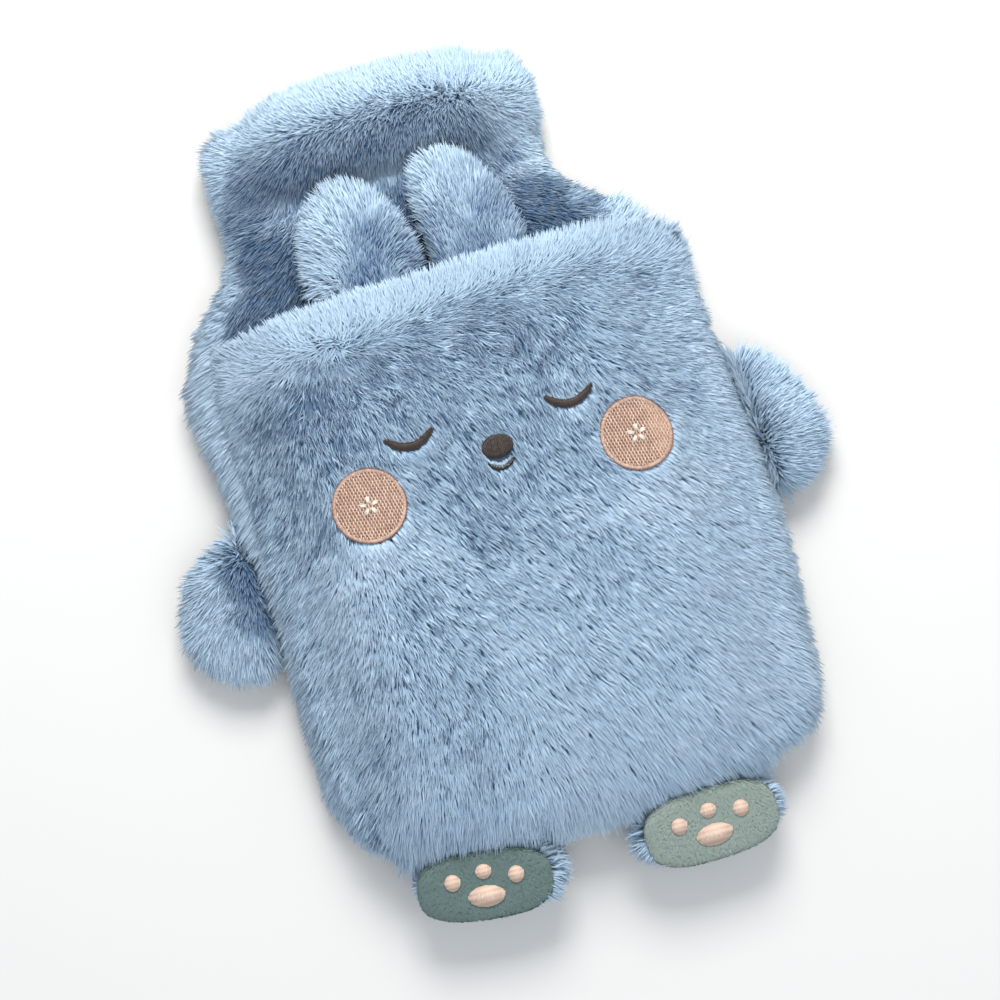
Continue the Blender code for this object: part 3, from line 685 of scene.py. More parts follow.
def pile_of(name, roots, normal, elbow, tip, tone, width, paint, calm=0.0, slot="blue_pile", seed=7):
    """One piece of all these hairs. Calm and pale ones are wider and lie closer."""
    count = len(roots)
    chance = np.random.default_rng(seed)
    axis = unit(tip - roots)
    side = unit(np.cross(axis, normal + 0.25 * chance.normal(size=(count, 3))))
    smooth = np.maximum(np.clip((tone - 0.55) / 0.2, 0.0, 1.0), calm)[:, None]
    half = (width / 2 * chance.uniform(0.7, 1.3, count))[:, None] * (1.0 + 0.9 * smooth)
    left, right = elbow - half * side, elbow + half * side
    turned = (np.cross(right - roots, left - roots) * (tip - roots)).sum(axis=1) > 0
    left[turned], right[turned] = right[turned].copy(), left[turned].copy()
    points = np.concatenate([roots, left, right, tip]) * MM
    corners = [0, 2, 1, 1, 2, 3, 0, 3, 2, 0, 1, 3]
    faces = np.arange(count)[:, None] + count * np.array(corners)
    mesh = bpy.data.meshes.new(name)
    mesh.vertices.add(4 * count)
    mesh.vertices.foreach_set("co", points.astype(np.float32).ravel())
    mesh.loops.add(12 * count)
    mesh.loops.foreach_set("vertex_index", faces.astype(np.int32).ravel())
    mesh.polygons.add(4 * count)
    mesh.polygons.foreach_set("loop_start", np.arange(0, 12 * count, 3, dtype=np.int32))
    mesh.update(calc_edges=True)
    u = np.stack([tone, tone - 0.012, tone + 0.012, tone], axis=1)
    v = np.tile([0.0, 0.44, 0.44, 1.0], (count, 1))
    layer = mesh.uv_layers.new(name="OFBake")
    layer.data.foreach_set("uv", np.stack([u[:, corners], v[:, corners]], axis=2).astype(np.float32).ravel())
    piece = piece_of(name, mesh, slot, paint)
    upward = np.where(normal[:, 2] > -0.7, np.clip(0.6 - normal[:, 2], 0.0, 0.9), 0.0)
    soft = unit(normal + upward[:, None] * (0.0, 0.0, 1.0))
    rounded, leaning = 0.55 - 0.4 * smooth, 0.5 - 0.3 * smooth
    lit = np.concatenate([
        soft + 0.3 * axis,
        soft + rounded * unit(left - elbow),
        soft + rounded * unit(right - elbow),
        soft + leaning * axis,
    ])
    mesh.normals_split_custom_set_from_vertices(unit(lit).tolist())
    return piece


print("a lock has 4 points and 4 faces")

# %% [markdown]
# ## Room for the stitching
# The face on the real cover is stitched through the pile, and the machine's foot presses the
# hair flat, so each patch lies in a small dimple. The patches here are plain ones: two closed
# eyes, a nose with a mouth, and round cheeks. A function gives the gap from any place to the
# nearest stitching. Hairs that would cross it are turned up before they reach it, and those
# rooted under its edge come out from below it.

# %% The gap to the stitched face
FACE_X = 5.0
CHEEKS = [(FACE_X - 52.0, -3.0, 14.0), (FACE_X + 52.0, -3.0, 14.0)]
NOSE = (FACE_X, 6.0, 6.0, 4.6)
# Middle, half span, sag and width of each hanging arc.
ARCS = {
    "eye_left": (FACE_X - 31.0, 19.0, 9.0, 4.5, 3.0),
    "eye_right": (FACE_X + 31.0, 19.0, 9.0, 4.5, 3.0),
    "mouth": (FACE_X, 0.5, 5.0, 2.6, 1.8),
}


def on_arc(arc, t):
    """A point on an arc, the way across it there, and half the width of its stitching."""
    x, y, half_span, sag, width = arc
    slope = 2 * sag * t / half_span
    size = np.hypot(slope, 1)
    return x + half_span * t, y - sag * (1 - t * t), -slope / size, 1 / size, width / 2 * (1 - 0.55 * t**4)


def stitch_gap(x, y):
    """How far places are from the edge of the nearest stitching."""
    gap = np.full(np.shape(x), 1e3)
    for cx, cy, radius in CHEEKS:
        gap = np.minimum(gap, np.hypot(x - cx, y - cy) - radius)
    cx, cy, wide, high = NOSE
    gap = np.minimum(gap, (np.hypot((x - cx) / wide, (y - cy) / high) - 1) * (wide + high) / 2)
    for arc in ARCS.values():
        for t in np.linspace(-1, 1, 15):
            px, py, _, _, half = on_arc(arc, t)
            gap = np.minimum(gap, np.hypot(x - px, y - py) - half)
    return gap


UNDER_PATCH = 2.2  # hair lower than this over the cloth passes under a patch


def turned_up(roots, normal, points, share):
    """Points of hairs that lean less by the given share and keep most of their height."""
    away = points - roots
    up = normal * (away * normal).sum(axis=1, keepdims=True)
    return roots + (away - up) * share + up * np.maximum(share, 0.65)


def kept_off_stitching(roots, normal, elbow, tip):
    """The hairs turned up where they would cross the stitching, how much, and which to keep."""
    reach = np.ones(len(roots))
    for t in np.linspace(1.0, 0.1, 10):
        way = roots + (elbow - roots) * min(t / 0.44, 1.0) + (tip - elbow) * max((t - 0.44) / 0.56, 0.0)
        above = ((way - roots) * normal).sum(axis=1) > UNDER_PATCH
        reach = np.where((stitch_gap(way[:, 0], way[:, 1]) < 0.1) & above, t - 0.1, reach)
    share = reach[:, None]
    covered = stitch_gap(roots[:, 0], roots[:, 1]) < 0
    shows = (reach == 1) & (stitch_gap(tip[:, 0], tip[:, 1]) > 0.3)
    elbow, tip = (turned_up(roots, normal, end, share) for end in (elbow, tip))
    return elbow, tip, 1 - reach, ~covered | shows


forehead_gap = float(stitch_gap(np.array(5.0), np.array(40.0)))
print("gap from the middle of the forehead:", round(forehead_gap, 1), "mm")

# %% [markdown]
# ## The pocket's pile
# The pocket is the largest surface, and its pile has the most to show. Below the hem a parting
# runs across it: above the parting the hair stands up and over the hem in a pale band, below it
# the hair flows towards the feet and a little to the right, and fans out at both sides. A piece
# may have at most 200,000 triangles, so the pile is made as an upper and a lower piece.

# %% Pile of the front pocket
# x, y, heading, rise, length, tone; the tone is painted light and shade
HEM_ROWS = (
    (
        (-86, 66, 150, 30, 10, 0.16), (-72, 69, 116, 26, 6.5, 0.12), (-56, 70, 106, 24, 6.5, -0.1),
        (-36, 71, 100, 24, 6.5, -0.12), (-14, 72, 95, 24, 6.5, -0.16), (8, 74, 91, 24, 6.5, -0.16),
        (28, 75.5, 88, 24, 6.5, -0.15), (46, 75.5, 84, 26, 7.5, -0.15), (62, 74.5, 78, 30, 9, -0.15),
        (76, 72, 66, 34, 11, -0.15), (90, 68, 42, 36, 11, -0.15),
    ),
    (
        (-90, 58, 176, 32, 10, 0.16), (-76, 62, 140, 24, 7.5, 0.12), (-60, 63.5, 114, 22, 7.5, 0.02),
        (-42, 65, 102, 22, 7.5, -0.12), (-22, 66, 95, 22, 7.5, -0.14), (0, 67.5, 90, 22, 7.5, -0.13),
        (20, 69, 84, 22, 7.5, -0.17), (40, 70, 76, 22, 7.5, -0.17), (58, 69, 66, 26, 7.5, -0.15),
        (76, 66, 44, 32, 9, -0.17), (94, 60, 14, 36, 10, -0.15),
    ),
    (
        (-90, 50, -170, 36, 9, 0.18), (-74, 55, -165, 34, 7.5, 0.22), (-58, 57, -140, 34, 7.5, 0.1),
        (-47, 57.5, -125, 28, 9, -0.16), (-36, 58.5, 24, 28, 9, -0.14), (-22, 59.5, 16, 34, 7.5, -0.12),
        (-4, 61, 8, 34, 7.5, -0.16), (16, 62.5, 2, 34, 7.5, -0.16), (34, 63.5, -8, 34, 7.5, -0.17),
        (54, 62, -10, 34, 7.5, -0.15), (74, 59, -6, 36, 7.5, -0.17), (92, 53, -6, 36, 7.5, 0.1),
    ),
    (
        (-86, 44, -150, 46, 7.5, -0.06), (-70, 49, -130, 44, 7.5, -0.18),
        (-54, 51, -112, 44, 7.5, -0.2), (-40, 52, -60, 44, 7.5, -0.18), (-24, 53, -32, 44, 7.5, 0.1),
        (-6, 54.5, -26, 44, 7.5, -0.12), (14, 56, -26, 44, 7.5, -0.14), (34, 56, -44, 44, 7.5, 0),
        (52, 55, -46, 44, 7.5, -0.07), (70, 52, -26, 46, 7.5, -0.1), (88, 47, -20, 46, 7.5, 0.06),
    ),
)
POCKET_FIELD = (
    (-80, 46, -112, 46, 7.8, -0.42), (-55, 44, -78, 48, 7.5, -0.36), (-33, 48, -57, 48, 7.5, -0.26),
    (-15, 46, -60, 48, 7.5, -0.12), (5, 47, -66, 48, 7.5, -0.2), (26, 47, -80, 48, 7.5, -0.22),
    (45, 44, -68, 48, 7.5, -0.13), (63, 40, -50, 48, 7.5, -0.11), (82, 36, -24, 46, 7.8, -0.02),
    (97, 30, -34, 46, 7.8, 0.14), (-80, 24, -110, 46, 7.8, -0.2), (-60, 26, -79, 48, 7.5, -0.24),
    (-40, 24, -77, 48, 7.5, -0.11), (-20, 26, -76, 48, 7.5, -0.19), (0, 24, -63, 48, 7.5, -0.05),
    (20, 22, -78, 48, 7.5, -0.15), (38, 20, -82, 48, 7.5, -0.07), (57, 16, -62, 48, 7.5, -0.15),
    (75, 14, -42, 48, 7.5, -0.11), (94, 8, -33, 46, 7.8, 0.16), (-88, -2, -134, 46, 7.8, -0.1),
    (-67, -2, -92, 48, 7.5, -0.16), (-49, 4, -72, 48, 7.5, -0.06), (-28, 2, -60, 48, 7.5, -0.01),
    (-8, -3, -69, 48, 7.5, -0.11), (12, -6, -73, 48, 7.5, -0.07), (30, -8, -69, 48, 7.5, -0.07),
    (49, -10, -52, 48, 7.5, -0.02), (67, -6, -64, 48, 7.5, 0.04), (90, -16, -42, 46, 7.8, 0.08),
    (-52, -24, -80, 48, 7.5, 0.2), (-30, -22, -62, 48, 7.5, 0.17), (-8, -22, -62, 48, 7.5, -0.17),
    (6, -24, -63, 48, 7.5, -0.09), (30, -24, -64, 48, 7.5, 0.05), (50, -25, -60, 48, 7.5, 0.2),
    (66, -25, -62, 48, 7.5, 0.22), (-92, -30, -132, 46, 7.8, -0.1), (-74, -30, -120, 48, 7.5, -0.04),
    (-56, -42, -82, 48, 7.5, 0.02), (-38, -42, -64, 48, 7.5, -0.06), (-18, -40, -61, 48, 7.5, 0.04),
    (2, -42, -63, 48, 7.5, 0), (22, -44, -63, 48, 7.5, 0.02), (42, -44, -65, 48, 7.5, 0),
    (60, -46, -65, 48, 7.5, 0.04), (80, -44, -57, 46, 7.8, 0.1), (98, -48, -46, 46, 7.8, 0.12),
    (-93, -60, -130, 46, 7.8, -0.12), (-78, -58, -120, 46, 7.8, -0.08), (-60, -62, -88, 48, 7.5, -0.1),
    (-43, -68, -76, 48, 7.5, -0.04), (-27, -70, -68, 48, 7.5, -0.06), (-8, -74, -65, 48, 7.5, 0.16),
    (10, -78, -66, 48, 7.5, 0.06), (30, -82, -63, 48, 7.5, 0.06), (49, -84, -66, 48, 7.5, 0.06),
    (68, -84, -64, 48, 7.5, 0.08), (90, -84, -50, 46, 7.8, 0.16), (-88, -94, -124, 46, 7.8, -0.16),
    (-74, -98, -122, 48, 7.5, -0.1), (-56, -100, -103, 48, 7.5, -0.08),
    (-37, -104, -96, 48, 7.5, -0.12), (-17, -104, -88, 48, 7.5, 0.02), (2, -108, -70, 48, 7.5, 0.1),
    (22, -110, -66, 48, 7.5, 0.14), (42, -112, -66, 48, 7.5, 0.16), (60, -114, -66, 48, 7.5, 0.12),
    (78, -112, -60, 46, 7.8, 0.12), (98, -106, -46, 40, 10.5, 0.18), (-80, -124, -122, 46, 7.8, -0.16),
    (-62, -130, -108, 46, 12.5, -0.1), (-42, -131, -104, 42, 12.5, -0.06),
    (-20, -131, -96, 42, 12.5, 0.1), (0, -134, -88, 42, 11, 0.18), (20, -134, -78, 46, 12.5, 0.16),
    (42, -132, -70, 46, 13, 0.04), (62, -131, -72, 46, 13, -0.06), (88, -124, -52, 42, 10.5, 0),
    (-72, 40, -112, 46, 7.8, -0.42),
)
POCKET_STROKES = (*(stroke for row in HEM_ROWS for stroke in drawn_out(row)), *POCKET_FIELD)


def everywhere(middle, facing):
    """The pile grows alike on every face."""
    return np.ones(len(middle))


def pocket_thickness(place):
    """How thick the pile is: most of all round the stitching and the whorl, and thick along the hem."""
    gap = stitch_gap(place[:, 0], place[:, 1])
    share = np.where(place[:, 1] > 54.0, 0.8, 0.45)
    share = np.where(np.hypot((place[:, 0] + 44.0) / 17.0, (place[:, 1] - 57.0) / 9.0) < 1.0, 1.0, share)
    share = np.where(gap < 2.5, 1.0, share)
    return np.where(gap > -2.6, share, 0.0)


def pocket_pile(name, count, seed, low, high):
    """The pile of the panel between two places along it."""
    def share(middle, facing):
        return (middle[:, 1] > low) & (middle[:, 1] <= high)

    roots, normal = roots_on(grounds["front_pocket"], count, seed, share, pocket_thickness)
    on_hem = (roots[:, 1] > 56) & (normal[:, 1] > 0.3)
    band = np.clip((roots[:, 1] - np.interp(roots[:, 0], *BAND_FOOT)) / 6.0 + 0.4, 0.0, 1.0)
    calm = np.maximum(band, np.interp(roots[:, 1], (-110, -50), (0.4, 0.0)))
    lift, least = np.where(on_hem, 0.3, 0.0), np.where(on_hem, 58.0, 4.0)
    elbow, tip, tone = grow(roots, normal, POCKET_STROKES, seed, lift, calm, least=least)
    elbow, tip, raised, kept = kept_off_stitching(roots, normal, elbow, tip)
    # Hair turned up at the stitching's edge is painted lighter, as painted light it catches there.
    tone = np.clip(tone + 0.3 * raised, 0.03, 0.97)
    roots, normal, elbow, tip, tone, calm = (
        rows[kept] for rows in (roots, normal, elbow, tip, tone, calm))
    return pile_of(name, roots, normal, elbow, tip, tone, HAIR_WIDTH, BLUE_HAIR, calm)


HAIR_WIDTH = 0.42
SPLIT = -28.0
BAND_FOOT = ((-90, -58, -20, 34, 60, 94), (50, 57, 60, 63.5, 62, 55))
pocket_upper = pocket_pile("front_pocket_pile_upper", 49000, 11, SPLIT, 200.0)
pocket_lower = pocket_pile("front_pocket_pile_lower", 47000, 12, -200.0, SPLIT)
print("hairs on the pocket:", [len(p.data.polygons) // 4 for p in (pocket_upper, pocket_lower)])

# %% [markdown]
# ## The bag's pile
# The bag shows round the pocket: a strip at the left, the shoulders, the neck with its
# turned-down cuff, and the whole back. The rim of the cuff catches the light and is painted
# lighter too, and under it the hair hangs towards the feet and is painted darker in its shade.
# Under the pocket no hair is grown, because nobody can see it. On the back the hair is pressed
# flat by the cover's weight, and coarser locks do.

# %% Pile of the bag, the cuff and the back
# x, y, heading, rise, length, tone; the tone is painted light on the cuff's rim and painted shade in the band
# under it, on the neck and round the ears.
CUFF_ROWS = (
    (
        (-72, 154, 136, 38, 11, 0.24), (-56, 160, 112, 38, 8.5, 0.22), (-34, 164, 98, 36, 6, -0.06),
        (-10, 165, 92, 36, 6, -0.06), (14, 164, 90, 36, 6.5, -0.06), (32, 160, 88, 36, 9, -0.02),
        (46, 156, 70, 36, 11, -0.04), (58, 152, 52, 38, 10, -0.14),
    ),
    (
        (-66, 149, 160, 36, 11, 0.24), (-52, 152, 116, 34, 7.5, 0.16), (-30, 154.5, 100, 34, 7.5, 0.02),
        (-8, 156, 92, 34, 7.5, 0.02), (14, 156, 90, 34, 7.5, -0.06), (34, 153, 84, 34, 8, -0.08),
        (50, 149, 60, 36, 8, -0.04),
    ),
    (
        (-48, 147.5, 150, 38, 8, 0), (-26, 149.5, 140, 38, 8, 0.02), (-4, 150.5, 130, 38, 8, 0.04),
        (18, 150.5, 124, 40, 8, -0.1), (36, 148, 100, 44, 8, -0.06),
    ),
    (
        (-54, 140, -165, 44, 9, -0.34), (-34, 143, -135, 46, 9, -0.38),
        (-12, 144.5, -125, 46, 9, -0.42), (10, 145, -122, 50, 9, -0.38), (28, 143, -128, 60, 8, -0.26),
        (44, 141, -20, 56, 8, 0.04),
    ),
    (
        (-54, 131, -150, 42, 9, -0.5), (-34, 134, -112, 42, 9, -0.52), (-12, 136, -108, 42, 9, -0.5),
        (10, 138, -104, 42, 9, -0.44), (30, 135, -84, 46, 9, -0.4), (46, 130, -40, 46, 8, -0.06),
    ),
    (
        (-44, 126, -95, 38, 8.5, -0.18), (-26, 127, -95, 34, 9, -0.18), (-6, 128, -95, 34, 9, -0.18),
        (14, 129, -95, 34, 9, -0.18),
    ),
)
BAG_FIELD = (
    (-76, 140, 176, 40, 7, 0.26), (66, 142, 0, 36, 5, 0.24), (56, 138, 0, 44, 7, 0.24),
    (-77, 122, 178, 38, 6.5, 0.24), (-62, 121, -165, 42, 9, -0.4), (-22, 119, -90, 34, 9, -0.56),
    (2, 118, -92, 34, 9, -0.64), (34, 122, -84, 38, 9, -0.42), (52, 118, -30, 38, 7, 0.24),
    (-78, 104, -170, 40, 7, 0.12), (-60, 104, -140, 42, 9, -0.56), (-50, 92, -120, 40, 9, -0.54),
    (-10, 96, -92, 36, 9.5, -0.6), (44, 98, -45, 40, 9.5, -0.6), (64, 100, 20, 40, 8, 0.12),
    (-90, 84, -150, 42, 9.5, 0.12), (-70, 82, -120, 42, 9, -0.54), (50, 86, -60, 40, 9, -0.64),
    (77, 89, 42, 42, 12, 0.14), (-98, 60, -150, 42, 12, 0.22), (-99, 20, -135, 42, 10, 0.2),
    (-95, -30, -128, 42, 9, 0.16), (-93, -80, -124, 42, 8, -0.04), (-86, -125, -118, 40, 8, -0.06),
    (-40, -138, -94, 38, 9, -0.1), (40, -138, -86, 38, 9, -0.1), (88, -125, -55, 40, 11, -0.02),
    (97, -60, -40, 42, 9.5, 0.04), (93, 10, -40, 42, 9, 0.06), (90, 66, -10, 42, 11, 0.08),
    (0, 50, -90, 30, 10, -0.1), (0, -60, -90, 30, 10, 0), (60, 93, -20, 40, 8, -0.4),
)
BAG_STROKES = (*(stroke for row in CUFF_ROWS for stroke in drawn_out(row)), *BAG_FIELD)
CUFF_CREASE = 124.5


def in_the_open(middle, facing):
    """0 for a face of the bag that the panel covers well inside its edges."""
    share = np.ones(len(middle))
    for k, (point, way) in enumerate(zip(middle.tolist(), facing.tolist())):
        if way[2] > 0.2 and point[1] < 52.0:
            x, y, z = point[0], point[1], point[2] + 0.5
            hit = PANEL.ray_cast((x, y, z), (0, 0, 1))[3]
            beside = PANEL.ray_cast((x + math.copysign(7.0, x), y, z), (0, 0, 1))[3]
            share[k] = 0.0 if hit and beside else 1.0
        elif way[2] > 0.2 and point[1] < 66.0 and abs(point[0]) < 80.0:
            share[k] = 0.3
    return share


BACK_STROKES = (
    (0, 150, -90, 20, 8, -0.05), (-60, 140, -140, 20, 7, 0), (45, 140, -40, 20, 7, 0),
    (0, 80, -90, 20, 9, 0), (-90, 60, -150, 24, 8, 0), (90, 50, -30, 24, 8, 0), (0, -60, -90, 20, 9, 0),
    (-95, -60, -140, 24, 8, 0), (98, -60, -40, 24, 8, 0), (0, -138, -90, 24, 9, 0),
    (-70, -130, -120, 24, 8, 0), (75, -130, -60, 24, 8, 0),
)


def bag_pile(name, count, seed, part, width, calm, strokes=BAG_STROKES, lift=-0.25):
    """The pile of one part of the bag. part says which faces, from their middles and normals."""
    def share(middle, facing):
        return in_the_open(middle, facing) * part(middle, facing)

    roots, normal = roots_on(grounds["cover_bag"], count, seed, share)
    on_rim = (roots[:, 1] > 140.0) & (normal[:, 2] < 0.75) & (normal[:, 2] > -0.3)
    elbow, tip, tone = grow(roots, normal, strokes, seed, lift, calm, least=np.where(on_rim, 52.0, 4.0))
    return pile_of(name, roots, normal, elbow, tip, tone, width, BLUE_HAIR, calm)


def on_front(middle, facing):
    return (facing[:, 2] > -0.3) & (middle[:, 1] <= CUFF_CREASE)


def on_cuff(middle, facing):
    return (facing[:, 2] > -0.3) & (middle[:, 1] > CUFF_CREASE)


def on_back(middle, facing):
    return facing[:, 2] <= -0.3


BACK_WIDTH = 0.95
bag_front = bag_pile("cover_bag_pile_front", 31000, 21, on_front, HAIR_WIDTH, 0.35)
bag_cuff = bag_pile("cover_bag_pile_cuff", 20000, 22, on_cuff, HAIR_WIDTH, 0.8)
bag_back = bag_pile("cover_bag_pile_back", 23000, 23, on_back, BACK_WIDTH, 0.0, BACK_STROKES, 0.0)
print("hairs on the bag:", [len(p.data.polygons) // 4 for p in (bag_front, bag_cuff, bag_back)])

# %% [markdown]
# ## Ears, arms and feet
# These are small stuffed shapes, and their hair fans out from the middle, longest at the rim, so
# that their outlines are soft. The ears' strokes point away from the pocket. The feet carry flat
# soles, so their hair grows from the sides and stands up in a ring round the sole.

# %% Pile of the stuffed parts
def fanned(x, y, half_x, half_y, length, longer, side, tone, inner_tone):
    """Strokes that fan out from the middle of a small part, longer towards one side."""
    rows = [(x, y, -90, 50, length, inner_tone)]
    for angle in range(0, 360, 45):
        turn = math.radians(angle)
        grown = length + longer * math.cos(turn - math.radians(side))
        rows.append((x + half_x * math.cos(turn), y + half_y * math.sin(turn), angle, 40, grown, tone))
    return tuple(rows)


# x, y, heading, rise, length, tone; the tone is painted shade where an ear or arm meets the body and under
# it, and painted light at the outer rims.
PART_STROKES = {
    "ear_left": (
        (-25, 123, 96, 42, 8, -0.24), (-42, 115, 140, 42, 8, -0.06), (-48, 98, 172, 42, 8, 0.0),
        (-46, 78, 195, 42, 8, -0.06), (-9, 112, 52, 42, 8, -0.12), (-4, 94, 20, 42, 8, -0.12),
        (-25, 110, 98, 44, 8, -0.2), (-36, 92, 140, 46, 8, -0.1), (-22, 91, 60, 50, 8, -0.48),
        (-12, 84, 20, 46, 8, -0.3), (-24, 78, 95, 44, 8, -0.54),
    ),
    "ear_right": (
        (19, 124, 88, 42, 8, -0.16), (3, 116, 132, 42, 8.5, -0.06), (-2, 96, 165, 42, 9, -0.04),
        (32, 112, 42, 42, 8, -0.14), (39, 92, 14, 42, 8, -0.14), (19, 108, 88, 44, 8, -0.26),
        (10, 92, 105, 44, 8, -0.3), (26, 92, 60, 44, 8, -0.42), (20, 78, 90, 44, 8, -0.48),
    ),
    "arm_left": (
        (-102, 4, 140, 38, 10, 0.06), (-117, -6, 165, 36, 11, 0.12), (-127, -24, 195, 40, 9.5, 0.06),
        (-124, -44, 240, 40, 9.5, 0.0), (-108, -54, -85, 40, 9.5, -0.04),
        (-112, -22, 225, 36, 9, -0.12), (-108, -36, 250, 36, 9, -0.1), (-99, 0, 190, 38, 9, -0.3),
        (-100, -14, 235, 38, 9, -0.56), (-98, -28, 255, 38, 9, -0.46), (-97, -42, -85, 40, 9, -0.2),
    ),
    "arm_right": (
        (103, 19, 60, 40, 11, 0.0), (116, 11, 42, 38, 12, 0.08), (126, -4, 22, 38, 13, 0.1),
        (126, -22, 2, 38, 13, 0.04), (114, -36, -34, 40, 10, -0.02), (113, -6, 16, 36, 9, -0.02),
        (113, -22, -6, 36, 9, -0.04), (102, 6, 26, 38, 9, -0.22), (104, -10, 14, 38, 9, -0.28),
        (106, -26, -14, 38, 9, -0.16),
    ),
    "foot_left": fanned(-42.5, -147.6, 29.0, 13.0, 6.2, 3.4, 0.0, -0.04, -0.2),
    "foot_right": fanned(44.8, -148.1, 29.0, 13.0, 7.2, 1.0, 180.0, 0.0, -0.2),
}
HAIRS = {"ear": 8500, "arm": 8500, "foot": 5500}


def on_the_rim(middle, facing):
    """A foot's faces that neither its sole nor the pocket covers."""
    return np.where(facing[:, 2] > 0.97, 0.0, np.where(facing[:, 1] > 0.5, 0.4, 1.0))


def part_pile(node, seed):
    """The pile of one stuffed part."""
    foot = node.startswith("foot")
    count, share = HAIRS[node.split("_")[0]], on_the_rim if foot else everywhere
    roots, normal = roots_on(grounds[node], count, seed, share)
    least = np.where(normal[:, 1] < -0.3, 66.0, 4.0) if node == "foot_right" else 4.0
    lift = 0.25 if foot else -0.15
    elbow, tip, tone = grow(
        roots, normal, PART_STROKES[node], seed, lift, 0.6, pull=0.08, least=least)
    return pile_of(node + "_pile", roots, normal, elbow, tip, tone, HAIR_WIDTH, BLUE_HAIR, 0.85)


piles = {node: part_pile(node, 31 + k) for k, node in enumerate(SOFT_PARTS)}
print("hairs on the stuffed parts:", {node: len(p.data.polygons) // 4 for node, p in piles.items()})

# %% [markdown]
# ## Embroidery
# Satin stitch is made of parallel threads that lie side by side and dip into the cloth at both
# ends; a wide patch is filled with rows of shorter stitches, set like bricks, and bordered with
# satin. A texture could draw this, but the threads catch light one by one, so they are real
# bars here: a few rings of four points, thick in the middle and sunk at their ends. All the
# threads of a patch are one joined piece with the plate of cloth under them.

# %% Threads laid on a surface
def bars(starts, ends, width, high, tones, arch):
    """Points, faces and map of threads between two sets of points. They rise by arch widths and
    dive under the cloth at both ends."""
    axis = unit(ends - starts)
    count = len(starts)
    across = unit(np.cross(axis, high))
    spans = (
        (0.0, -0.4 - arch, 0.5), (0.16, 0.5 * arch, 1.0), (0.5, arch, 1.0),
        (0.84, 0.5 * arch, 1.0), (1.0, -0.4 - arch, 0.5))
    rings, ups = [], []
    for share, rise, size in spans:
        middle = starts + (ends - starts) * share + high * (rise * width)[:, None]
        for way, up in ((-1, 0), (0, 0.8), (1, 0), (0, -0.8)):
            half = size * width / 2
            rings.append(middle + across * (way * half)[:, None] + high * (up * half)[:, None])
            ups.append(share)
    points = np.stack(rings, axis=1).reshape(-1, 3)
    side = [
        (r * 4 + k, r * 4 + (k + 1) % 4, r * 4 + 4 + (k + 1) % 4, r * 4 + 4 + k)
        for r in range(4) for k in range(4)]
    side += [(3, 2, 1, 0), (16, 17, 18, 19)]
    faces, maps = [], []
    for bar in range(count):
        for face in side:
            faces.append(tuple(bar * 20 + k for k in face))
            maps.append([
                (min(0.98, tones[bar] + 0.02 * (0, 1, 2, 1)[k % 4]),
                 0.02 + 0.96 * ups[k] + 0.004 * (k % 4)) for k in face])
    return points, faces, maps


def plate(node, sink, moved=(0.0, 0.0, 0.0)):
    """The cloth under a patch: the merged solid, lowered by sink along Z."""
    shape = shape_of(node)
    bmesh.ops.recalc_face_normals(shape, faces=shape.faces)
    points = np.array([v.co - Vector((0, 0, sink)) + Vector(moved) for v in shape.verts])
    faces = [tuple(v.index for v in f.verts) for f in shape.faces]
    low, size = points.min(axis=0), np.ptp(points, axis=0)
    spots = [
        (0.02 + 0.06 * (point[0] - low[0]) / size[0], 0.05 + 0.9 * (point[1] - low[1]) / size[1])
        for point in points]
    maps = [[spots[k] for k in face] for face in faces]
    shape.free()
    return points, faces, maps


def patch_of(node, slot, parts, paints):
    """One stitched piece for a node. parts holds rows of points, faces, map and paint number."""
    points, faces, maps, which = [], [], [], []
    for part_points, part_faces, part_maps, number in parts:
        start = sum(len(p) for p in points)
        points.append(part_points)
        faces += [tuple(start + k for k in face) for face in part_faces]
        maps += part_maps
        which += [number] * len(part_faces)
    mesh = bpy.data.meshes.new(node)
    mesh.from_pydata((np.concatenate(points) * MM).tolist(), [], faces)
    layer = mesh.uv_layers.new(name="OFBake")
    layer.data.foreach_set("uv", np.array([uv for face in maps for uv in face], np.float32).ravel())
    piece = piece_of(node + "_stitched", mesh, slot, *paints)
    mesh.polygons.foreach_set("material_index", np.array(which, np.int32))
    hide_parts(node)
    return piece


print("a thread has 20 points and 18 faces")

# %% [markdown]
# ## The stitched face
# The threads are laid out flat and then set down on the panel, which is found by looking
# straight down onto the CAD solid. The plain face has closed eyes, an oval nose, a small mouth
# and round cheeks with a small five-petalled flower on each.

# %% Cheeks, eyes, nose and mouth
SUNK = 1.7  # how far the patches lie under the level of their solids, in mm


def set_down(flat, above):
    """Points over the panel for flat places, above it by the given height."""
    return np.array([(x, y, PANEL.ray_cast((x, y, 200), (0, 0, -1))[0].z + above) for x, y in flat])


def threads_on_panel(rows, width, above, seed, arch=0.3):
    """Threads between flat places, set down on the panel. rows are (x, y, x, y)."""
    rows = np.array(rows, float)
    chance = np.random.default_rng(seed)
    starts, ends = set_down(rows[:, :2], above), set_down(rows[:, 2:], above)
    up = np.tile((0.0, 0.0, 1.0), (len(rows), 1))
    widths = width * chance.uniform(0.9, 1.1, len(rows))
    return bars(starts, ends, widths, up, chance.uniform(0.1, 0.9, len(rows)), arch)


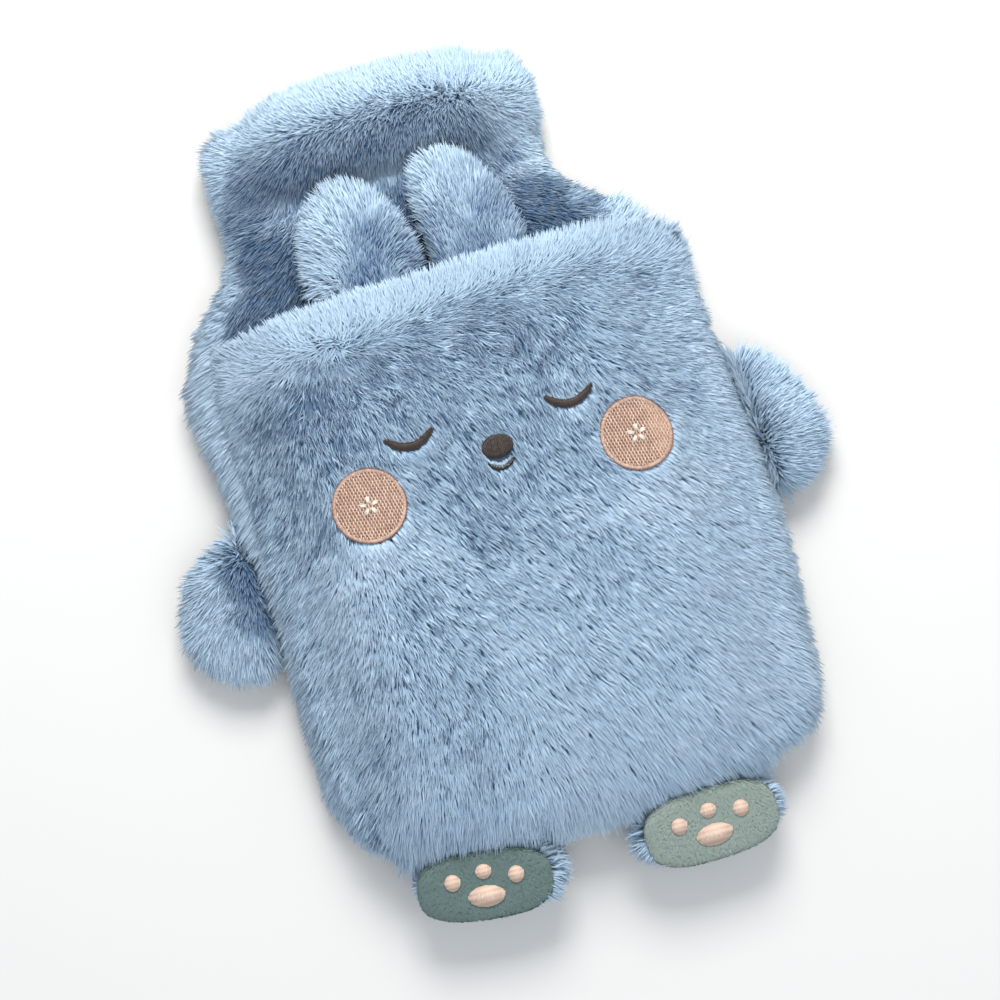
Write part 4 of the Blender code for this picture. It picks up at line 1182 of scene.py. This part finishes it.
def brick_fill(cx, cy, radius, turn, pitch, length, seed):
    """Rows of short stitches across a disc, each row shifted by half a stitch."""
    chance = np.random.default_rng(seed)
    ex, ey = math.cos(turn), math.sin(turn)
    rows = []
    for k, off in enumerate(np.arange(-radius + pitch, radius, pitch)):
        half = math.sqrt(radius**2 - off**2)
        edge = -length * (math.ceil(radius / length) + (k % 2) / 2)
        while edge < half:
            low, high = max(edge, -half), min(edge + length * 0.93, half)
            if high - low > 0.5:
                wave, slant = off + chance.normal() * 0.05, 0.12
                rows.append((cx + ex * low - ey * (wave - slant), cy + ey * low + ex * (wave - slant),
                             cx + ex * high - ey * (wave + slant), cy + ey * high + ex * (wave + slant)))
            edge += length
    return rows


def satin_ring(cx, cy, inner, outer, pitch):
    """Threads across a ring, side by side."""
    count = int(2 * math.pi * outer / pitch)
    turns = 2 * np.pi * np.arange(count) / count
    lean = 0.05
    return np.stack([cx + inner * np.cos(turns), cy + inner * np.sin(turns),
                     cx + outer * np.cos(turns + lean), cy + outer * np.sin(turns + lean)], axis=1)


def edge_run(cx, cy, radius, step):
    """A run of stitches round a disc."""
    turns = np.arange(0, 2 * math.pi - 0.5 * step / radius, step / radius)
    return np.stack([cx + radius * np.cos(turns), cy + radius * np.sin(turns),
                     cx + radius * np.cos(turns + step / radius),
                     cy + radius * np.sin(turns + step / radius)], axis=1)


def flower(cx, cy):
    """Five petals of three short threads."""
    rows = []
    for petal in range(5):
        turn = math.pi / 2 + petal * 2 * math.pi / 5
        for side in (-1, 0, 1):
            ex, ey = math.cos(turn), math.sin(turn)
            rows.append((cx + ex * 0.9 - ey * side * 0.25, cy + ey * 0.9 + ex * side * 0.25,
                         cx + ex * (4.2 - 0.5 * abs(side)) - ey * side * 0.62,
                         cy + ey * (4.2 - 0.5 * abs(side)) + ex * side * 0.62))
    return rows


def cheek(node, cx, cy, radius, seed):
    """A round cheek: brick fill, satin border and a pale flower."""
    return patch_of(node, "pink_thread", [
        (*plate(node, SUNK + 1.0), 0),
        (*threads_on_panel(
            brick_fill(cx, cy, radius - 1.0, math.radians(78), 0.66, 2.5, seed),
            0.6, 1.6 - SUNK, seed), 0),
        (*threads_on_panel(satin_ring(cx, cy, radius - 1.5, radius, 0.6), 0.5, 1.75 - SUNK, seed + 1), 0),
        (*threads_on_panel(flower(cx, cy), 0.62, 2.0 - SUNK, seed + 2), 1),
        # A rose run round the rim: a darker thread, with painted shade at the cheek's edge as well.
        (*threads_on_panel(edge_run(cx, cy, radius, 1.5), 0.5, 1.5 - SUNK, seed + 3), 2),
    ], (PINK_THREAD, IVORY_THREAD, ROSE_THREAD))


def arc_patch(node, seed):
    """Satin stitches across a hanging arc."""
    arc = ARCS[node]
    steps = np.linspace(-1, 1, int(arc[1] * 2.25 / 0.6))
    x, y, nx, ny, half = on_arc(arc, steps)
    rows = np.stack([x - nx * half, y - ny * half, x + nx * half + 0.2, y + ny * half], axis=1)
    return patch_of(node, "brown_thread", [
        (*plate(node, SUNK + 0.7), 0), (*threads_on_panel(rows, 0.52, 1.9 - SUNK, seed), 0)], (BROWN_THREAD,))


def nose_patch(seed):
    """Upright satin stitches across the oval of the nose."""
    cx, cy, wide, high = NOSE
    x = np.arange(-wide + 0.25, wide - 0.2, 0.6)
    half = high * np.sqrt(1 - (x / wide) ** 2)
    rows = np.stack([cx + x, cy - half, cx + x + 0.2, cy + half], axis=1)
    return patch_of("nose", "brown_thread", [
        (*plate("nose", SUNK + 0.7), 0),
        (*threads_on_panel(rows, 0.54, 1.95 - SUNK, seed), 0)], (BROWN_THREAD,))


stitched = [cheek("cheek_left", *CHEEKS[0], 51), cheek("cheek_right", *CHEEKS[1], 54), nose_patch(57),
            *(arc_patch(node, 60 + k) for k, node in enumerate(ARCS))]
print("triangles of the face:", sum(sum(len(f.vertices) - 2 for f in p.data.polygons) for p in stitched))

# %% [markdown]
# ## Soles and pads
# A sole is a disc of short plush, sewn round its edge so that it swells a little in the middle.
# A circle is drawn out to the squarish oval of the real one, inset in rings that rise towards
# the middle, and closed below. The short nap on it is the same kind of lock as the pile, only
# one or two millimetres long. The pads are satin stitch, laid on the sole's slope.

# %% Soles with their nap, and stitched pads
FEET = {"left": (-41.0, -151.0, 13.5, 7.0), "right": (49.0, -150.5, 13.5, -1.5)}
FOOT_TILT = 14.0
SOLE_LEVEL = 10.3  # of its underside above the middle of the foot
SOLE_THICK = 2.4
SOLE_HALF = {"left": (25.2, 13.0), "right": (25.4, 13.8)}
SQUARENESS = 0.7  # the power that makes a circle a squarish oval; 1 leaves it a circle
PADS = {
    "heel": (0.0, -3.6, 7.0, 4.2),
    "toe_outer": (-12.0, 3.2, 3.0, 3.3),
    "toe_middle": (0.0, 6.0, 3.0, 2.9),
    "toe_inner": (12.0, 3.2, 3.0, 3.3),
}


def foot_place(side):
    """The turn and place of a foot, as in the CAD model but for the way it has moved."""
    x, y, z, turn = FEET[side]
    place = Vector((x, y, z)) + MOVED["foot_" + side]
    turned = Matrix.Rotation(math.radians(-turn), 4, "Z")
    return Matrix.Translation(place) @ turned @ Matrix.Rotation(math.radians(FOOT_TILT), 4, "X")


def sole_of(side):
    """A swelling disc of short plush."""
    shape = bmesh.new()
    bmesh.ops.create_circle(shape, segments=56, radius=1.0, cap_ends=True)
    for vert in shape.verts:
        x, y = vert.co.x, vert.co.y
        half_x, half_y = SOLE_HALF[side]
        square = [math.copysign(abs(way) ** SQUARENESS, way) for way in (x, y)]
        vert.co = (square[0] * half_x, square[1] * half_y, 0.9)
    top = list(shape.faces)
    bottom = bmesh.ops.extrude_face_region(shape, geom=top, use_keep_orig=True)["geom"]
    lower = [g for g in bottom if isinstance(g, bmesh.types.BMVert)]
    bmesh.ops.translate(shape, verts=lower, vec=(0, 0, -0.9))
    bmesh.ops.scale(shape, verts=lower, vec=(0.96, 0.93, 1.0))
    bmesh.ops.recalc_face_normals(shape, faces=shape.faces)
    face = max(shape.faces, key=lambda f: f.calc_center_median().z)
    for step, rise in ((0.9, 0.75), (1.6, 0.45), (2.4, 0.2), (2.6, 0.08)):
        bmesh.ops.inset_region(shape, faces=[face], thickness=step, depth=rise, use_even_offset=True)
    bmesh.ops.poke(shape, faces=[face])
    shape.verts.layers.float.new("pile")
    layer = shape.verts.layers.float["pile"]
    for vert in shape.verts:
        vert[layer] = 1.0 if vert.co.z > 0.5 else 0.0
    shape.transform(Matrix.Scale(MM, 4) @ foot_place(side) @ Matrix.Translation((0, 0, SOLE_LEVEL)))
    mesh = bpy.data.meshes.new("sole")
    shape.to_mesh(mesh)
    shape.free()
    sole = piece_of("sole_" + side + "_plush", mesh, "sole_plush", SOLE_VELVET[side])
    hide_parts("sole_" + side)
    return sole


def nap_of(side, sole, seed):
    """The short nap on a sole, left out under its pads."""
    frame_of_foot = np.array(foot_place(side).inverted())

    def open_plush(place):
        local = place @ frame_of_foot[:3, :3].T + frame_of_foot[:3, 3]
        free = np.ones(len(place))
        for along, across, long, wide in PADS.values():
            free *= np.hypot((local[:, 0] - along) / (long + 0.1), (local[:, 1] - across) / (wide + 0.1)) > 1
        return free

    roots, normal = roots_on(sole, 7000, seed, everywhere, open_plush)
    x, y, _, turn = FEET[side]
    # The nap's tones are painted shade along the edge under the pocket and painted light along the far edge.
    strokes = (
        (x, y, -80 - turn, 12, 1.7, 0.0),
        (x - 25, y, 220, 12, 1.7, 0.04),
        (x + 25, y, -40, 12, 1.7, 0.0),
        (x, y - 12, -90, 12, 1.7, 0.12),
        (x, y + 12, -90, 12, 1.7, -0.1),
    )
    elbow, tip, tone = grow(roots, normal, strokes, seed, calm=0.5, bend=7.0)
    return pile_of("sole_" + side + "_nap", roots, normal, elbow, tip, tone, 0.36,
                   SOLE_HAIR[side], 0.8, "sole_plush")


def pad_of(side, pad, seed):
    """A small oval of satin stitches on a sole."""
    along, across, long, wide = PADS[pad]
    x = np.arange(-long + 0.2, long - 0.15, 0.5)
    half = wide * np.sqrt(1 - (x / long) ** 2)
    level = np.full(len(x), SOLE_LEVEL + SOLE_THICK + 0.35)
    flat = np.stack([
        along + x, across - half, level, along + x + 0.15, across + half, level], axis=1)
    turned = np.array(foot_place(side))
    starts, ends = (flat[:, k:k + 3] @ turned[:3, :3].T + turned[:3, 3] for k in (0, 3))
    chance = np.random.default_rng(seed)
    up = np.tile(turned[:3, 2], (len(x), 1))
    widths = 0.5 * chance.uniform(0.9, 1.1, len(x))
    threads = bars(starts, ends, widths, up, chance.uniform(0.1, 0.9, len(x)), 0.4)
    node = "pad_" + side + "_" + pad
    return patch_of(node, "pink_thread", [
        (*plate(node, 0.45, MOVED["foot_" + side]), 0), (*threads, 0)], (PALE_THREAD,))


soles = {side: sole_of(side) for side in FEET}
naps = {side: nap_of(side, soles[side], 71 + k) for k, side in enumerate(FEET)}
pads = [pad_of(side, pad, 80 + k) for side in FEET for k, pad in enumerate(PADS)]
print("hairs on the soles:", {side: len(p.data.polygons) // 4 for side, p in naps.items()})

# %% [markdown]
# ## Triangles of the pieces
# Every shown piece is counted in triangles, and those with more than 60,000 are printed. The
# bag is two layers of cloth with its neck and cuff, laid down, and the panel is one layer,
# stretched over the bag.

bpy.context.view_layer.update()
total = 0
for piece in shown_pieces():
    mesh = piece.evaluated_get(bpy.context.evaluated_depsgraph_get()).data
    triangles = sum(len(f.vertices) - 2 for f in mesh.polygons)
    total += triangles
    if triangles > 60000:
        print(piece.name, triangles)
